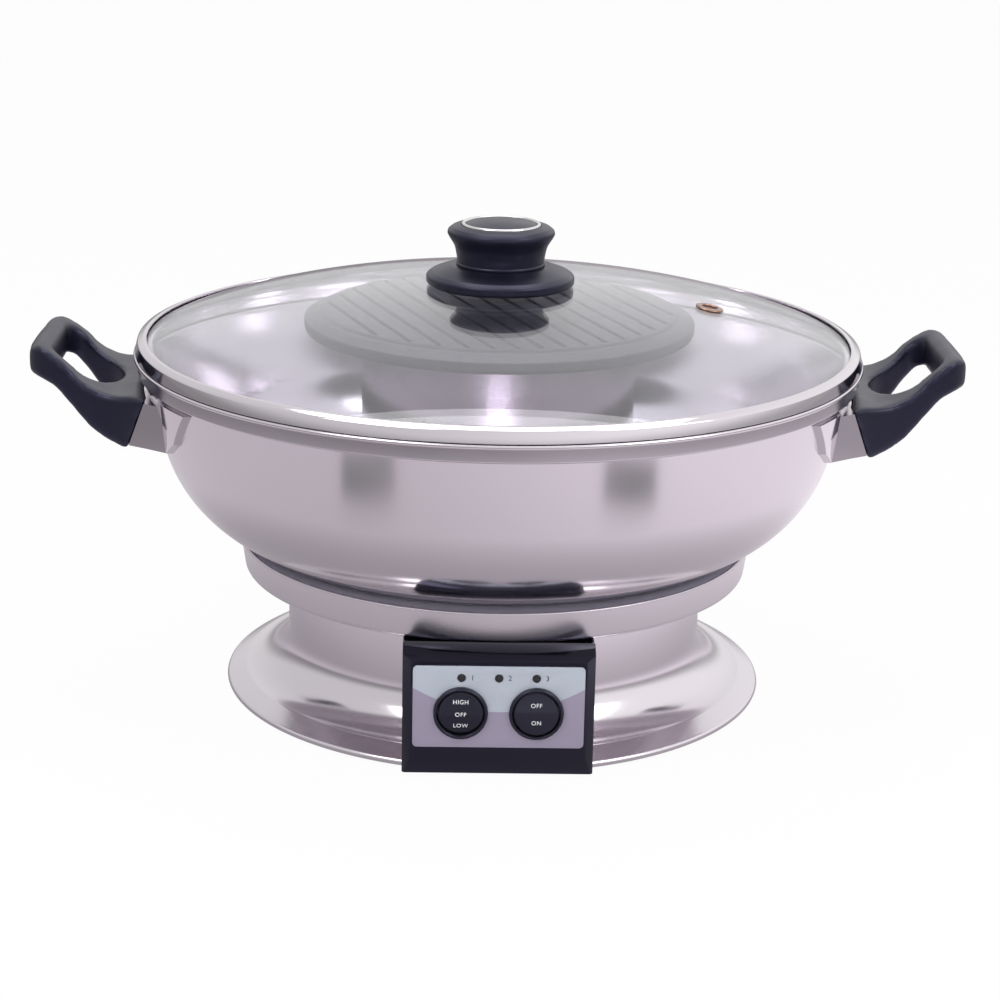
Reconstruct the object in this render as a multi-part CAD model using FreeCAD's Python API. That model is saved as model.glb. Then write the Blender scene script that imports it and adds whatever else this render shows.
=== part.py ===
import FreeCAD, Part
import math
import os

# Electric hot pot: a pressed steel base with a control box, a lift-off steel bowl with a
# central chimney, a round grill plate on the chimney and a lift-off domed glass lid.
# Millimetres. +Z is up and z = 0 is the table. The origin is on the pot's axis,
# and the control box faces -Y.

# Clearances
lift_off_gap = 0.3
slip_gap = 0.5
hidden_gap = 0.1
pin_gap = 0.05
cutter = 400.0

# Base shell, a spun steel stand
base_sheet = 0.8
foot_drop = 1.5
rim_radius = 124.5
rim_roll = 1.6
cove_radius = 20.5
waist_radius = 95.7
waist_height = 28.0
crease_height = 8.5
deck_hole_inset = 13.7
window_half = 30.0
window_margin = 5.0

# Collar and seat on top of the base
collar_overhang = 19.8
collar_lean = 2.0
collar_height = 14.5
collar_lip_roll = 0.7
collar_corner = 2.5
seat_drop = 1.3
seat_inset = 19.2
seat_corner = 1.5
deck_sheet = 1.0
deck_margin = 3.7

# Bowl
bowl_sheet = 1.0
bowl_floor_radius = 92.0
bowl_corner = 62.0
bowl_wall_angle = 15.8
bowl_wall_rise = 17.5
bowl_step_out = 2.0
bowl_step_bend = 0.7
bowl_band_height = 7.3
bowl_bead_roll = 1.0
bowl_bead_out = 0.6
chimney_radius = 62.0
chimney_sheet = 1.0
chimney_lip = 4.0
chimney_rise = 9.4

# Grill plate
grill_radius = 88.0
grill_face_inset = 7.5
grill_thickness = 6.5
grill_skirt = 2.0
grill_skirt_width = 4.0
grill_edge = 1.5
grill_shoulder = 2.8
grill_face_step = 1.2
grill_face_land = 2.0
grill_groove_margin = 2.5
grill_groove_pitch = 10.0
grill_groove_width = 2.4
grill_groove_depth = 1.8
grill_groove_turn = -70.0
grill_spigot_depth = 6.5
grill_spigot_wall = 2.4

# Lid
lid_overhang = 0.4
lid_band_taper = 1.2
lid_band_height = 5.5
lid_band_sheet = 0.8
lid_spigot_gap = 1.0
lid_spigot_depth = 3.4
lid_ledge = 6.0
glass_thickness = 4.0
glass_edge_inset = 2.6
glass_sink = 1.1
glass_rise = 25.5
glass_crown_radius = 120.0
glass_crown_fall = 12.7
glass_edge_bulge = 0.75
vent_x = 94.0
vent_y = -12.0
vent_hole_radius = 3.5
vent_flange_radius = 6.5
vent_flange = 1.0
vent_barrel_wall = 0.7

# Knob
knob_disc_radius = 33.5
knob_disc_rise = 2.3
knob_disc_edge = 3.2
knob_neck_rise = 8.7
knob_hub_radius = 14.0
knob_grip_radius = 20.0
knob_grip_length = 14.8
knob_flare_radius = 24.0
knob_shoulder = 4.3
knob_ring_radius = 18.0
knob_ring_width = 2.0
knob_well = 3.3
knob_crown = 1.5
knob_seal_radius = 13.0
knob_seal_thickness = 0.5
knob_screw_radius = 2.4
knob_screw_head = 6.0

# Side handles, given for the one at +X. Its outlines are shares of the handle's own sizes.
handle_root_inset = 7.9
handle_length = 56.5
handle_drop = 5.5
handle_rise = 19.1
handle_depth = 24.3
handle_slant = 20.3
handle_root_half = 50.0
handle_neck_run = 22.5
handle_neck_half = 38.5
handle_end_half = 35.2
handle_bar_width = 13.0
handle_hole_run = 15.5
handle_hole_half = 27.0
ferrule_wall = 1.0
ferrule_run = 9.5
ferrule_front = 12.0
ferrule_low_inset = 2.1
ferrule_high_inset = 1.9
strap_thickness = 1.5
wing_thickness = 3.0
wing_start = 56.7
wing_foot = 74.0
wing_foot_rise = 8.7
wing_tip = 94.0
wing_top_gap = 1.0
tongue_half = 4.0
tongue_place = 34.0
tongue_thickness = 3.0
tongue_drop = 13.5
tongue_run = 17.5
handle_screw_run = 12.5
handle_screw_radius = 2.0
handle_screw_head = 3.6
handle_screw_head_height = 2.4
handle_screw_seat = 20.5

# Control box
box_reach = 3.5
box_half_width = 40.75
box_corner = 3.6
box_rise = 1.3
box_bevel = 4.3
box_low = 2.2
box_foot = 2.6
box_back = 60.0
box_wall = 2.0
box_rib = 3.2
label_height = 36.6
label_top_margin = 2.1
label_low_margin = 4.3
label_side_margin = 4.45
label_corner = 2.0
label_thickness = 0.5
switch_spacing = 32.0
switch_drop = 20.9
switch_flange_radius = 11.55
switch_flange = 2.0
switch_barrel_radius = 10.6
switch_dish_radius = 10.5
switch_dish = 0.6
switch_depth = 18.0
switch_floor = 2.0
blade_spacing = 5.5
blade_half_width = 2.4
blade_half_thickness = 0.4
blade_length = 7.0
rocker_radius = 9.6
rocker_gap = 0.4
rocker_proud = 0.1
rocker_depth = 3.0
rocker_back = 4.0
rocker_tilt = 12.0
rocker_pin = 1.3
lamp_spacing = 15.8
lamp_drop = 5.3
lamp_radius = 1.7
lamp_proud = 0.6
lamp_nose = 0.4
lamp_flange = 0.8
lamp_flange_thickness = 1.0
lamp_body_radius = 3.2
lamp_body_length = 12.0

# Heaters and what carries them
heater_tube = 3.3
soup_heater_inset = 6.5
grill_heater_inset = 10.0
heater_leg_bend = 8.0
heater_gap_angle = 46.0
heater_leg_drop = 11.0
heater_leg_clearance = 0.7
reflector_sheet = 0.6
reflector_gap = 1.0
reflector_hub_inset = 7.0
clamp_half = 4.0
clamp_half_width = 2.5
clamp_count = 3
column_inset = 12.0
column_sheet = 0.8
column_flange = 3.5
column_flange_thickness = 1.2
column_drop = 22.0
dish_gap = 5.0
dish_rise = 5.0
grill_heater_gap = 3.0
sensor_inset = 2.0
sensor_radius = 6.5
sensor_height = 6.0
sensor_stem = 3.0
sensor_stem_drop = 14.0
sensor_strap = 1.2
sensor_strap_drop = 8.0
sensor_strap_half = 9.0
sensor_strap_half_width = 8.0

# Underside, posts and screws
cover_inset = 3.3
cover_sheet = 1.0
cover_height = 2.6
slot_start = 42.0
slot_end = 76.0
slot_width = 4.0
slot_count = 12
foot_radius = 9.0
foot_stem_radius = 3.6
foot_lock_height = 3.0
foot_inset = 24.5
foot_count = 4
post_radius = 4.0
post_inset = 8.7
post_count = 3
screw_radius = 1.6
screw_head_radius = 3.2
screw_head_height = 1.8
screw_slot_half = 0.4
screw_length = 9.0

# Mains inlet at the back
inlet_drop = 15.0
inlet_half_width = 13.4
inlet_half_height = 9.8
inlet_flange_half_width = 25.0
inlet_flange_half_height = 12.0
inlet_stand_off = 4.3
inlet_depth = 24.0
inlet_recess_half_width = 12.2
inlet_recess_half_height = 8.2
inlet_recess_depth = 18.0
inlet_pin_reach = 12.0
inlet_pin_tail = 14.0
inlet_pin_half_width = 1.0
inlet_pin_half_height = 2.0
inlet_pin_spacing = 7.0
inlet_pin_offset = 2.0
inlet_screw_place = 20.0
inlet_screw_length = 14.0

# Parts inside the base
block_length = 40.0
block_width = 16.0
block_height = 14.0
block_y = 30.0
block_way_count = 4
block_way_pitch = 10.0
block_way_radius = 2.6
block_way_floor = 8.0
block_screw_radius = 2.4
block_screw_height = 4.0
fuse_x = -30.0
fuse_y = 10.0
fuse_radius = 2.0
fuse_length = 12.0
fuse_clip = 0.6
fuse_clip_half = 3.0
fuse_clip_width = 4.0
lead_radius = 1.3
lead_bend = 7.0
lead_level = 5.0
lead_rise = 20.0
lead_turn = 12.0

# Places that follow from the sizes above
roll_height = foot_drop + rim_roll
crease_radius = waist_radius + cove_radius
deck_height = crease_height + cove_radius + waist_height
deck_hole_radius = waist_radius - deck_hole_inset
collar_foot_radius = waist_radius + collar_overhang
collar_lip_radius = collar_foot_radius + collar_lean
collar_lip_height = deck_height + collar_height
collar_floor_top = deck_height + base_sheet
deck_top = collar_floor_top + deck_sheet
deck_radius = waist_radius - deck_margin
seat_height = collar_lip_height - seat_drop
seat_inner_radius = waist_radius - seat_inset
wall_angle = math.radians(bowl_wall_angle)
bowl_floor_height = seat_height + lift_off_gap
bowl_corner_height = bowl_floor_height + bowl_corner
bowl_step_height = bowl_corner_height + bowl_wall_rise
bowl_corner_side = bowl_corner / math.cos(wall_angle)
bowl_step_radius = bowl_floor_radius + bowl_corner_side + bowl_wall_rise * math.tan(wall_angle)
bowl_band_radius = bowl_step_radius + bowl_step_out
bowl_bead_height = bowl_step_height + bowl_band_height
bowl_bead_radius = bowl_band_radius + bowl_bead_out
bowl_top = bowl_bead_height + bowl_bead_roll
chimney_top = bowl_top + chimney_rise
grill_underside = chimney_top + lift_off_gap
grill_top_height = grill_underside + grill_thickness
grill_edge_height = grill_underside - grill_skirt
grill_face_radius = grill_radius - grill_face_inset
spigot_radius = chimney_radius - chimney_sheet - slip_gap
lid_base = bowl_top + lift_off_gap
lid_band_top = lid_base + lid_band_height
lid_band_radius = bowl_bead_radius + lid_overhang
lid_band_top_radius = lid_band_radius - lid_band_taper
lid_spigot_radius = bowl_band_radius - bowl_sheet - lid_spigot_gap
glass_edge_radius = lid_band_top_radius - glass_edge_inset
glass_edge_height = lid_band_top - glass_sink
glass_apex = glass_edge_height + glass_rise
glass_crown_height = glass_apex - glass_crown_fall
knob_disc_height = glass_apex + knob_disc_rise
knob_grip_height = glass_apex + knob_neck_rise
knob_flare_height = knob_grip_height + knob_grip_length
knob_ring_height = knob_flare_height + knob_shoulder
knob_seat_height = knob_ring_height - knob_well
knob_top_height = knob_ring_height + knob_crown
handle_root = bowl_band_radius - handle_root_inset
handle_reach = handle_root + handle_length
handle_level = bowl_step_height - handle_drop
handle_screw_x = handle_root + handle_screw_run
handle_seam = handle_root - ferrule_run
ferrule_low = handle_level - handle_depth + ferrule_low_inset
ferrule_high = handle_level - ferrule_high_inset
tongue_height = handle_level - tongue_drop
box_front = rim_radius + box_reach
box_top = deck_height + box_rise
box_face_high = box_top - box_bevel
label_high = box_face_high - label_top_margin
label_low = label_high - label_height
box_face_low = label_low - label_low_margin
label_half = box_half_width - label_side_margin
label_front = -(box_front + label_thickness)
switch_front = label_front - switch_flange
switch_height = label_high - switch_drop
switch_hole_radius = switch_barrel_radius + hidden_gap
lamp_height = label_high - lamp_drop
panel_back = -box_front + box_wall
rocker_crown = switch_front - rocker_proud
rocker_pivot = rocker_crown + rocker_depth
soup_heater_radius = seat_inner_radius - soup_heater_inset
soup_heater_height = bowl_floor_height - lift_off_gap - heater_tube
column_radius = chimney_radius - column_inset
column_top = grill_underside - column_drop
dish_radius = chimney_radius - chimney_sheet - dish_gap
grill_heater_radius = column_radius - grill_heater_inset
grill_heater_height = grill_underside - grill_heater_gap - heater_tube
heater_leg_foot = deck_height - heater_leg_drop
reflector_outer = seat_inner_radius - reflector_gap
reflector_inner = chimney_radius - reflector_hub_inset
sensor_place = soup_heater_radius - sensor_inset
cover_top = cover_height + cover_sheet
cover_radius = rim_radius - cover_inset
foot_place = rim_radius - foot_inset
post_place = waist_radius - post_inset
inlet_height = deck_height - inlet_drop
inlet_face = waist_radius + inlet_stand_off
axis_z = FreeCAD.Vector(0, 0, 1)
origin = FreeCAD.Vector(0, 0, 0)


def vector(x, y, z):
    return FreeCAD.Vector(x, y, z)


def path_edges(start, steps, place):
    """Lines, and arcs through a middle point, as a chain of edges."""
    edges = []
    here = place(start)
    for step in steps:
        if len(step) == 2:
            there = place(step)
            edges.append(Part.LineSegment(here, there).toShape())
        else:
            middle = place(step[:2])
            there = place(step[2:])
            edges.append(Part.Arc(here, middle, there).toShape())
        here = there
    return edges


def in_section(point):
    return vector(point[0], 0, point[1])


def outline_face(start, steps, place):
    """A flat face inside a chain of steps, closed by a straight line if it is open."""
    edges = path_edges(start, steps, place)
    first = edges[0].Vertexes[0].Point
    last = place(steps[-1][-2:])
    if (last - first).Length > 1e-6:
        edges.append(Part.LineSegment(last, first).toShape())
    return Part.Face(Part.Wire(edges))


def turned(start, steps):
    """A closed section (radius, height) turned once about the pot's axis."""
    return outline_face(start, steps, in_section).revolve(origin, axis_z, 360)


def turned_sheet(start, steps, thickness):
    """A sheet whose given side is the section, thickened to the left of its direction."""
    wire = Part.Wire(path_edges(start, steps, in_section))
    return wire.makeOffset2D(thickness, 0, True, True).revolve(origin, axis_z, 360)


def ring(inner, outer, low, high):
    """A flat washer or tube."""
    whole = Part.makeCylinder(outer, high - low, vector(0, 0, low))
    if inner <= 0:
        return whole
    return whole.cut(Part.makeCylinder(inner, high - low + 2, vector(0, 0, low - 1)))


def roll(radius, height, tube):
    return Part.makeTorus(radius, tube, vector(0, 0, height))


def block(low, high):
    size = [high[i] - low[i] for i in range(3)]
    return Part.makeBox(size[0], size[1], size[2], vector(*low))


def plan_solid(start, steps, low, high):
    """A plan outline raised from one height to another."""
    face = outline_face(start, steps, lambda p: vector(p[0], p[1], low))
    return face.extrude(vector(0, 0, high - low))


def side_solid(start, steps, half):
    """An outline in (x, z) drawn out to both sides in Y."""
    face = outline_face(start, steps, lambda p: vector(p[0], -half, p[1]))
    return face.extrude(vector(0, 2 * half, 0))


def front_solid(start, steps, half):
    """An outline in (y, z) drawn out to both sides in X."""
    face = outline_face(start, steps, lambda p: vector(-half, p[0], p[1]))
    return face.extrude(vector(2 * half, 0, 0))


def rod(radius, start, end):
    direction = vector(*end) - vector(*start)
    return Part.makeCylinder(radius, direction.Length, vector(*start), direction)


def joined(shapes):
    """Several touching shapes as one solid."""
    if len(shapes) == 1:
        return shapes[0]
    return shapes[0].fuse(shapes[1:]).removeSplitter()


def group(shapes):
    """Several separate solids in one node."""
    return Part.makeCompound(shapes)


def round_about(shape, count, first=0.0):
    """Copies at equal angles about the pot's axis."""
    copies = []
    for index in range(count):
        copy = shape.copy()
        copy.rotate(origin, axis_z, first + 360.0 * index / count)
        copies.append(copy)
    return copies


def bent_tube(points, radius, bend):
    """A round lead along straight runs joined by tangent arcs."""
    corners = [vector(*point) for point in points]
    edges = []
    here = corners[0]
    for before, corner, after in zip(corners[:-2], corners[1:-1], corners[2:]):
        arrive = (corner - before).normalize()
        leave = (after - corner).normalize()
        half_turn = arrive.getAngle(leave) / 2
        cut = bend * math.tan(half_turn)
        start = corner - arrive * cut
        end = corner + leave * cut
        inward = (leave - arrive).normalize()
        centre = corner + inward * (bend / math.cos(half_turn))
        edges.append(Part.LineSegment(here, start).toShape())
        edges.append(Part.Arc(start, centre - inward * bend, end).toShape())
        here = end
    edges.append(Part.LineSegment(here, corners[-1]).toShape())
    section = Part.Wire(Part.makeCircle(radius, corners[0], corners[1] - corners[0]))
    return Part.Wire(edges).makePipeShell([section], True, False)


def ring_heater(radius, height, foot):
    """A tubular heater: an open ring whose two legs turn down at the front."""
    half_gap = heater_gap_angle / 2
    first = math.radians(-90 + half_gap)
    last = math.radians(270 - half_gap)
    bend = heater_leg_bend

    def on_ring(angle):
        return vector(radius * math.cos(angle), radius * math.sin(angle), height)

    def leg(angle, side):
        top = on_ring(angle)
        along = vector(-math.sin(angle), math.cos(angle), 0) * side
        centre = top - axis_z * bend
        below = centre - along * bend
        turn = (axis_z - along).normalize()
        return below, centre + turn * bend, top

    low_1, mid_1, top_1 = leg(first, 1)
    low_2, mid_2, top_2 = leg(last, -1)
    foot_1 = vector(low_1.x, low_1.y, foot)
    foot_2 = vector(low_2.x, low_2.y, foot)
    edges = [
        Part.LineSegment(foot_1, low_1).toShape(),
        Part.Arc(low_1, mid_1, top_1).toShape(),
        Part.Arc(top_1, on_ring((first + last) / 2), top_2).toShape(),
        Part.Arc(top_2, mid_2, low_2).toShape(),
        Part.LineSegment(low_2, foot_2).toShape(),
    ]
    section = Part.Wire(Part.makeCircle(heater_tube, foot_1, axis_z))
    return Part.Wire(edges).makePipeShell([section], True, False), [foot_1, foot_2]


def base_outer_steps():
    """The outer side of the base shell from its rolled rim up to its top flange."""
    quarter = cove_radius * math.sqrt(0.5)
    cove_height = crease_height + cove_radius
    return [
        (crease_radius, crease_height),
        (crease_radius - quarter, cove_height - quarter, waist_radius, cove_height),
        (waist_radius, deck_height),
    ]


def base_start():
    return (rim_radius - rim_roll, roll_height + rim_roll)


def base_filled():
    """Everything inside the base shell's outer side."""
    steps = base_outer_steps() + [(0, deck_height), (0, 0), (rim_radius - rim_roll, 0)]
    filled = turned(base_start(), steps)
    return joined([filled, roll(rim_radius - rim_roll, roll_height, rim_roll)])


def base_shell():
    steps = base_outer_steps() + [(deck_hole_radius - 2, deck_height)]
    shell = turned_sheet(base_start(), steps, base_sheet)
    shell = joined([shell, roll(rim_radius - rim_roll, roll_height, rim_roll)])
    window_low = (-window_half, -crease_radius, switch_height - window_margin)
    window = block(window_low, (window_half, -box_back, deck_height - window_margin))
    gap = hidden_gap
    cutout = inlet_block(inlet_half_width + gap, inlet_half_height + gap, box_back, inlet_face + 1)
    holes = post_screws(deck_height - 2 * base_sheet, collar_floor_top, screw_radius + gap)
    return shell.cut([window, cutout] + holes + inlet_screws(screw_radius + gap))


def collar_band():
    corner = collar_corner * math.sqrt(0.5)
    corner_radius = collar_foot_radius - collar_corner
    corner_height = deck_height + collar_corner
    lip = collar_lip_height - collar_lip_roll
    steps = [
        (corner_radius, deck_height),
        (corner_radius + corner, corner_height - corner, collar_foot_radius, corner_height),
        (collar_lip_radius, lip),
    ]
    band = turned_sheet((deck_hole_radius, deck_height), steps, base_sheet)
    band = joined([band, roll(collar_lip_radius - collar_lip_roll, lip, collar_lip_roll)])
    return band.cut(post_screws(deck_height - base_sheet, deck_top, screw_radius + hidden_gap))


def deck_plate():
    plate = ring(0, deck_radius, collar_floor_top, deck_top)
    holes = post_screws(collar_floor_top - 1, deck_top + 1, screw_radius + hidden_gap)
    holes += leg_holes(soup_heater_radius, soup_heater_height)
    holes += leg_holes(grill_heater_radius, grill_heater_height)
    return plate.cut(holes + [sensor_hole()])


def sensor_hole():
    """The hole that the thermostat's stem slides in."""
    low = deck_top - sensor_stem_drop
    return rod(sensor_stem + hidden_gap, (0, -sensor_place, low), (0, -sensor_place, deck_top + 1))


def seat_ring():
    corner = seat_corner * (1 - math.sqrt(0.5))
    outer = collar_lip_radius - 2 * collar_lip_roll - hidden_gap
    steps = [
        (seat_inner_radius, seat_height - seat_corner),
        (seat_inner_radius + corner, seat_height - corner, seat_inner_radius + seat_corner, seat_height),
        (outer, seat_height),
    ]
    return turned_sheet((seat_inner_radius, deck_top), steps, -base_sheet)


def support_posts():
    top = deck_height - base_sheet
    post = rod(post_radius, (post_place, 0, cover_top), (post_place, 0, top))
    tap_low = rod(screw_radius, (post_place, 0, cover_top - 1), (post_place, 0, cover_top + screw_length))
    tap_high = rod(screw_radius, (post_place, 0, top - screw_length), (post_place, 0, top + 1))
    return group(round_about(post.cut([tap_low, tap_high]), post_count, 90 / post_count))


def post_screws(low, high, radius):
    """Straight rods on the posts' circle, for holes and shanks."""
    straight = rod(radius, (post_place, 0, low), (post_place, 0, high))
    return round_about(straight, post_count, 90 / post_count)


def pan_screw(x, y, seat, up, length):
    """A pan-head screw standing on a seat, with a cross slot in its head."""
    head = rod(screw_head_radius, (x, y, seat), (x, y, seat + up * screw_head_height))
    shank = rod(screw_radius - hidden_gap / 2, (x, y, seat), (x, y, seat - up * length))
    slot_floor = seat + up * screw_head_height / 2
    low, high = sorted((slot_floor, seat + up * (screw_head_height + 1)))
    half = screw_slot_half
    arm = screw_head_radius * 0.6
    slot_1 = block((x - arm, y - half, low), (x + arm, y + half, high))
    slot_2 = block((x - half, y - arm, low), (x + half, y + arm, high))
    return joined([head, shank]).cut([slot_1, slot_2])


def collar_screws():
    length = deck_top - (deck_height - base_sheet) + screw_length - 1
    screw = pan_screw(post_place, 0, deck_top, 1, length)
    return group(round_about(screw, post_count, 90 / post_count))


def cover_screws():
    screw = pan_screw(post_place, 0, cover_height, -1, cover_sheet + screw_length - 1)
    return group(round_about(screw, post_count, 90 / post_count))


def bottom_cover():
    plate = ring(0, cover_radius, cover_height, cover_top)
    holes = post_screws(0, cover_top + 1, screw_radius + hidden_gap)
    slot = block((slot_start, -slot_width / 2, 0), (slot_end, slot_width / 2, cover_top + 1))
    holes += round_about(slot, slot_count, 180 / slot_count)
    holes += round_about(foot_hole(), foot_count, 45)
    return plate.cut(holes)


def foot_hole():
    return rod(foot_stem_radius + hidden_gap, (foot_place, 0, 0), (foot_place, 0, cover_top + 1))


def rubber_feet():
    pad = Part.makeCone(foot_radius - 1, foot_radius, cover_height, vector(foot_place, 0, 0))
    stem = rod(foot_stem_radius, (foot_place, 0, cover_height), (foot_place, 0, cover_top + 1))
    wide = foot_stem_radius * 1.4
    narrow = foot_stem_radius * 0.75
    lock_place = vector(foot_place, 0, cover_top + hidden_gap)
    lock = Part.makeCone(wide, narrow, foot_lock_height, lock_place)
    return group(round_about(joined([pad, stem, lock]), foot_count, 45))


def bowl_outer_steps(extra=0.0):
    """The bowl's outer side from its floor up to its top band."""
    corner = bowl_corner + extra

    def on_corner(angle):
        radius = bowl_floor_radius + corner * math.cos(angle)
        return radius, bowl_corner_height - corner * math.sin(angle)

    return [
        (bowl_floor_radius, bowl_floor_height - extra),
        on_corner((math.pi / 2 + wall_angle) / 2) + on_corner(wall_angle),
        (bowl_step_radius + extra, bowl_step_height),
    ]


def pot_bowl():
    steps = bowl_outer_steps()
    steps.append((bowl_band_radius, bowl_step_height + bowl_step_bend))
    steps.append((bowl_band_radius, bowl_bead_height))
    bowl = turned_sheet((chimney_radius, bowl_floor_height), steps, bowl_sheet)
    return joined([bowl, roll(bowl_bead_radius, bowl_bead_height, bowl_bead_roll)])


def bowl_filled(extra):
    """The space of the bowl grown by a small amount, to cut what stands against its wall."""
    steps = bowl_outer_steps(extra) + [(0, bowl_step_height)]
    return turned((0, bowl_floor_height - extra), steps)


def chimney_tube():
    bore = chimney_radius - chimney_sheet
    tube = ring(bore, chimney_radius, bowl_floor_height, chimney_top)
    lip = ring(bore, chimney_radius + chimney_lip, chimney_top - chimney_sheet, chimney_top)
    return joined([tube, lip])


def grill_plate():
    edge = grill_edge
    bend = edge * 0.3
    foot = grill_edge_height
    land = grill_top_height - grill_face_step
    body = turned(
        (0, grill_underside),
        [
            (grill_radius - grill_skirt_width, grill_underside),
            (grill_radius - grill_skirt_width, foot),
            (grill_radius - edge, foot),
            (grill_radius - bend, foot + bend, grill_radius, foot + edge),
            (grill_radius, grill_underside + grill_shoulder),
            (grill_face_radius + grill_face_land, land),
            (grill_face_radius, land),
            (grill_face_radius - grill_face_step * 0.6, grill_top_height),
            (0, grill_top_height),
        ],
    )
    spigot = ring(
        spigot_radius - grill_spigot_wall,
        spigot_radius,
        grill_underside - grill_spigot_depth,
        grill_underside,
    )
    return joined([body, spigot]).cut(grill_grooves().Solids)


def grill_grooves():
    """Parallel grooves that stop short of the face's edge."""
    reach = grill_face_radius - grill_groove_margin
    floor = grill_top_height - grill_groove_depth
    count = int(reach / grill_groove_pitch)
    lines = []
    for index in range(-count, count + 1):
        middle = index * grill_groove_pitch
        half = math.sqrt(reach ** 2 - middle ** 2)
        low = middle - grill_groove_width / 2
        lines.append(block((-half, low, floor), (half, low + grill_groove_width, grill_top_height + 1)))
    grooves = group(lines)
    grooves.rotate(origin, axis_z, grill_groove_turn)
    return grooves


def cap_fall(radius, edge_radius, rise):
    """How far a round cap has fallen at a radius, given its rise over its edge."""
    ball = (edge_radius ** 2 + rise ** 2) / (2 * rise)
    return ball - math.sqrt(ball ** 2 - radius ** 2)


def glass_section(drop):
    """The dome's curve, lowered by a thickness."""
    crown_middle = glass_crown_radius / 2
    crown_fall = cap_fall(crown_middle, glass_crown_radius, glass_crown_fall)
    edge_middle = (glass_crown_radius + glass_edge_radius) / 2
    edge_rise = (glass_crown_height + glass_edge_height) / 2 + glass_edge_bulge
    return [
        (crown_middle, glass_apex - crown_fall - drop, glass_crown_radius, glass_crown_height - drop),
        (edge_middle, edge_rise - drop, glass_edge_radius, glass_edge_height - drop),
    ]


def glass_dome():
    """The whole dome, before its holes are drilled."""
    under_apex = glass_apex - glass_thickness
    over = Part.Wire(path_edges((0, glass_apex), glass_section(0), in_section))
    under = Part.Wire(path_edges((0, under_apex), glass_section(glass_thickness), in_section))
    axis_edge = Part.LineSegment(vector(0, 0, under_apex), vector(0, 0, glass_apex)).toShape()
    low = vector(glass_edge_radius, 0, glass_edge_height - glass_thickness)
    high = vector(glass_edge_radius, 0, glass_edge_height)
    edge = Part.LineSegment(low, high).toShape()
    wire = Part.Wire(Part.__sortEdges__(over.Edges + under.Edges + [axis_edge, edge]))
    return Part.Face(wire).revolve(origin, axis_z, 360)


def vent_place(shape):
    """Moves a piece turned about Z to the vent, square to the glass."""
    radius = math.hypot(vent_x, vent_y)
    fall = glass_crown_fall / glass_crown_radius ** 2
    height = glass_apex - fall * radius * radius
    tilt = math.degrees(math.atan(2 * fall * radius))
    shape.rotate(origin, vector(0, 1, 0), tilt)
    shape.rotate(origin, axis_z, math.degrees(math.atan2(vent_y, vent_x)))
    shape.translate(vector(vent_x, vent_y, height))
    return shape


def lid_glass():
    high = glass_apex + glass_thickness
    screw_hole = rod(knob_screw_radius + slip_gap, (0, 0, high - 3 * glass_thickness), (0, 0, high))
    vent_bore = vent_hole_radius + vent_barrel_wall + hidden_gap
    vent_hole = ring(0, vent_bore, -2 * glass_thickness, 2 * glass_thickness)
    return glass_dome().cut([screw_hole, vent_place(vent_hole)])


def vent_grommet():
    under = -glass_thickness - hidden_gap * 3
    barrel_radius = vent_hole_radius + vent_barrel_wall
    outer = ring(vent_hole_radius, vent_flange_radius, -vent_flange * 0.4, vent_flange)
    barrel = ring(vent_hole_radius, barrel_radius, under - vent_flange / 2, vent_flange)
    clench = ring(vent_hole_radius, vent_flange_radius - 1, -glass_thickness - vent_flange, under)
    return vent_place(joined([outer, barrel, clench])).cut(lid_glass())


def lid_band():
    top = lid_band_top
    outer = lid_band_top_radius
    sheet = lid_band_sheet
    floor = lid_base + sheet
    wall = turned(
        (lid_band_radius, lid_base),
        [
            (outer, top - 1.25 * sheet),
            (outer - 0.9 * sheet, top - 0.25 * sheet, outer - 2.5 * sheet, top + 0.4 * sheet),
            (outer - 5 * sheet, top + 1.1 * sheet),
            (outer - 5 * sheet, top),
            (outer - 2.5 * sheet, top - 0.75 * sheet),
            (outer - 1.5 * sheet, top - 1.5 * sheet),
            (lid_band_radius - 1.6 * sheet, floor),
            (lid_spigot_radius - lid_ledge, floor),
            (lid_spigot_radius - lid_ledge, lid_base),
        ],
    )
    spigot = ring(lid_spigot_radius - sheet, lid_spigot_radius, lid_base - lid_spigot_depth, lid_base)
    return joined([wall, spigot]).cut(glass_dome())


def knob_base():
    bore = knob_screw_radius + hidden_gap
    low = knob_disc_height
    high = low + knob_disc_edge
    outer = knob_disc_radius
    edge = knob_disc_edge / 8
    seat = glass_apex + knob_seal_thickness
    return turned(
        (bore, seat),
        [
            (knob_hub_radius, seat),
            (outer - 5 * edge, low - 1.5 * edge),
            (outer - edge, low - 0.5 * edge, outer, low + 2.5 * edge),
            (outer, high - 3 * edge),
            (outer - 1.25 * edge, high - 0.5 * edge, outer - 5 * edge, high + edge),
            (knob_grip_radius + 5 * edge, knob_grip_height),
            (bore, knob_grip_height),
        ],
    )


def knob_grip():
    bore = knob_screw_radius + hidden_gap
    mid_height = (knob_grip_height + knob_flare_height) / 2
    well = knob_ring_radius + hidden_gap
    edge = knob_shoulder / 4
    flare = knob_flare_radius
    return turned(
        (bore, knob_grip_height),
        [
            (knob_grip_radius, knob_grip_height),
            (knob_grip_radius + 0.75 * edge, mid_height, flare, knob_flare_height - edge),
            (flare + 0.2 * edge, knob_flare_height + 0.5 * edge, flare - edge, knob_flare_height + 2 * edge),
            (well, knob_ring_height - 0.6 * edge),
            (well, knob_seat_height),
            (bore, knob_seat_height),
        ],
    )


def knob_ring():
    edge = knob_ring_width / 2
    inner = knob_ring_radius - knob_ring_width
    return turned(
        (knob_ring_radius, knob_seat_height),
        [
            (knob_ring_radius, knob_ring_height - edge),
            (knob_ring_radius - edge, knob_ring_height, inner, knob_ring_height - edge),
            (inner, knob_seat_height),
        ],
    )


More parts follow.
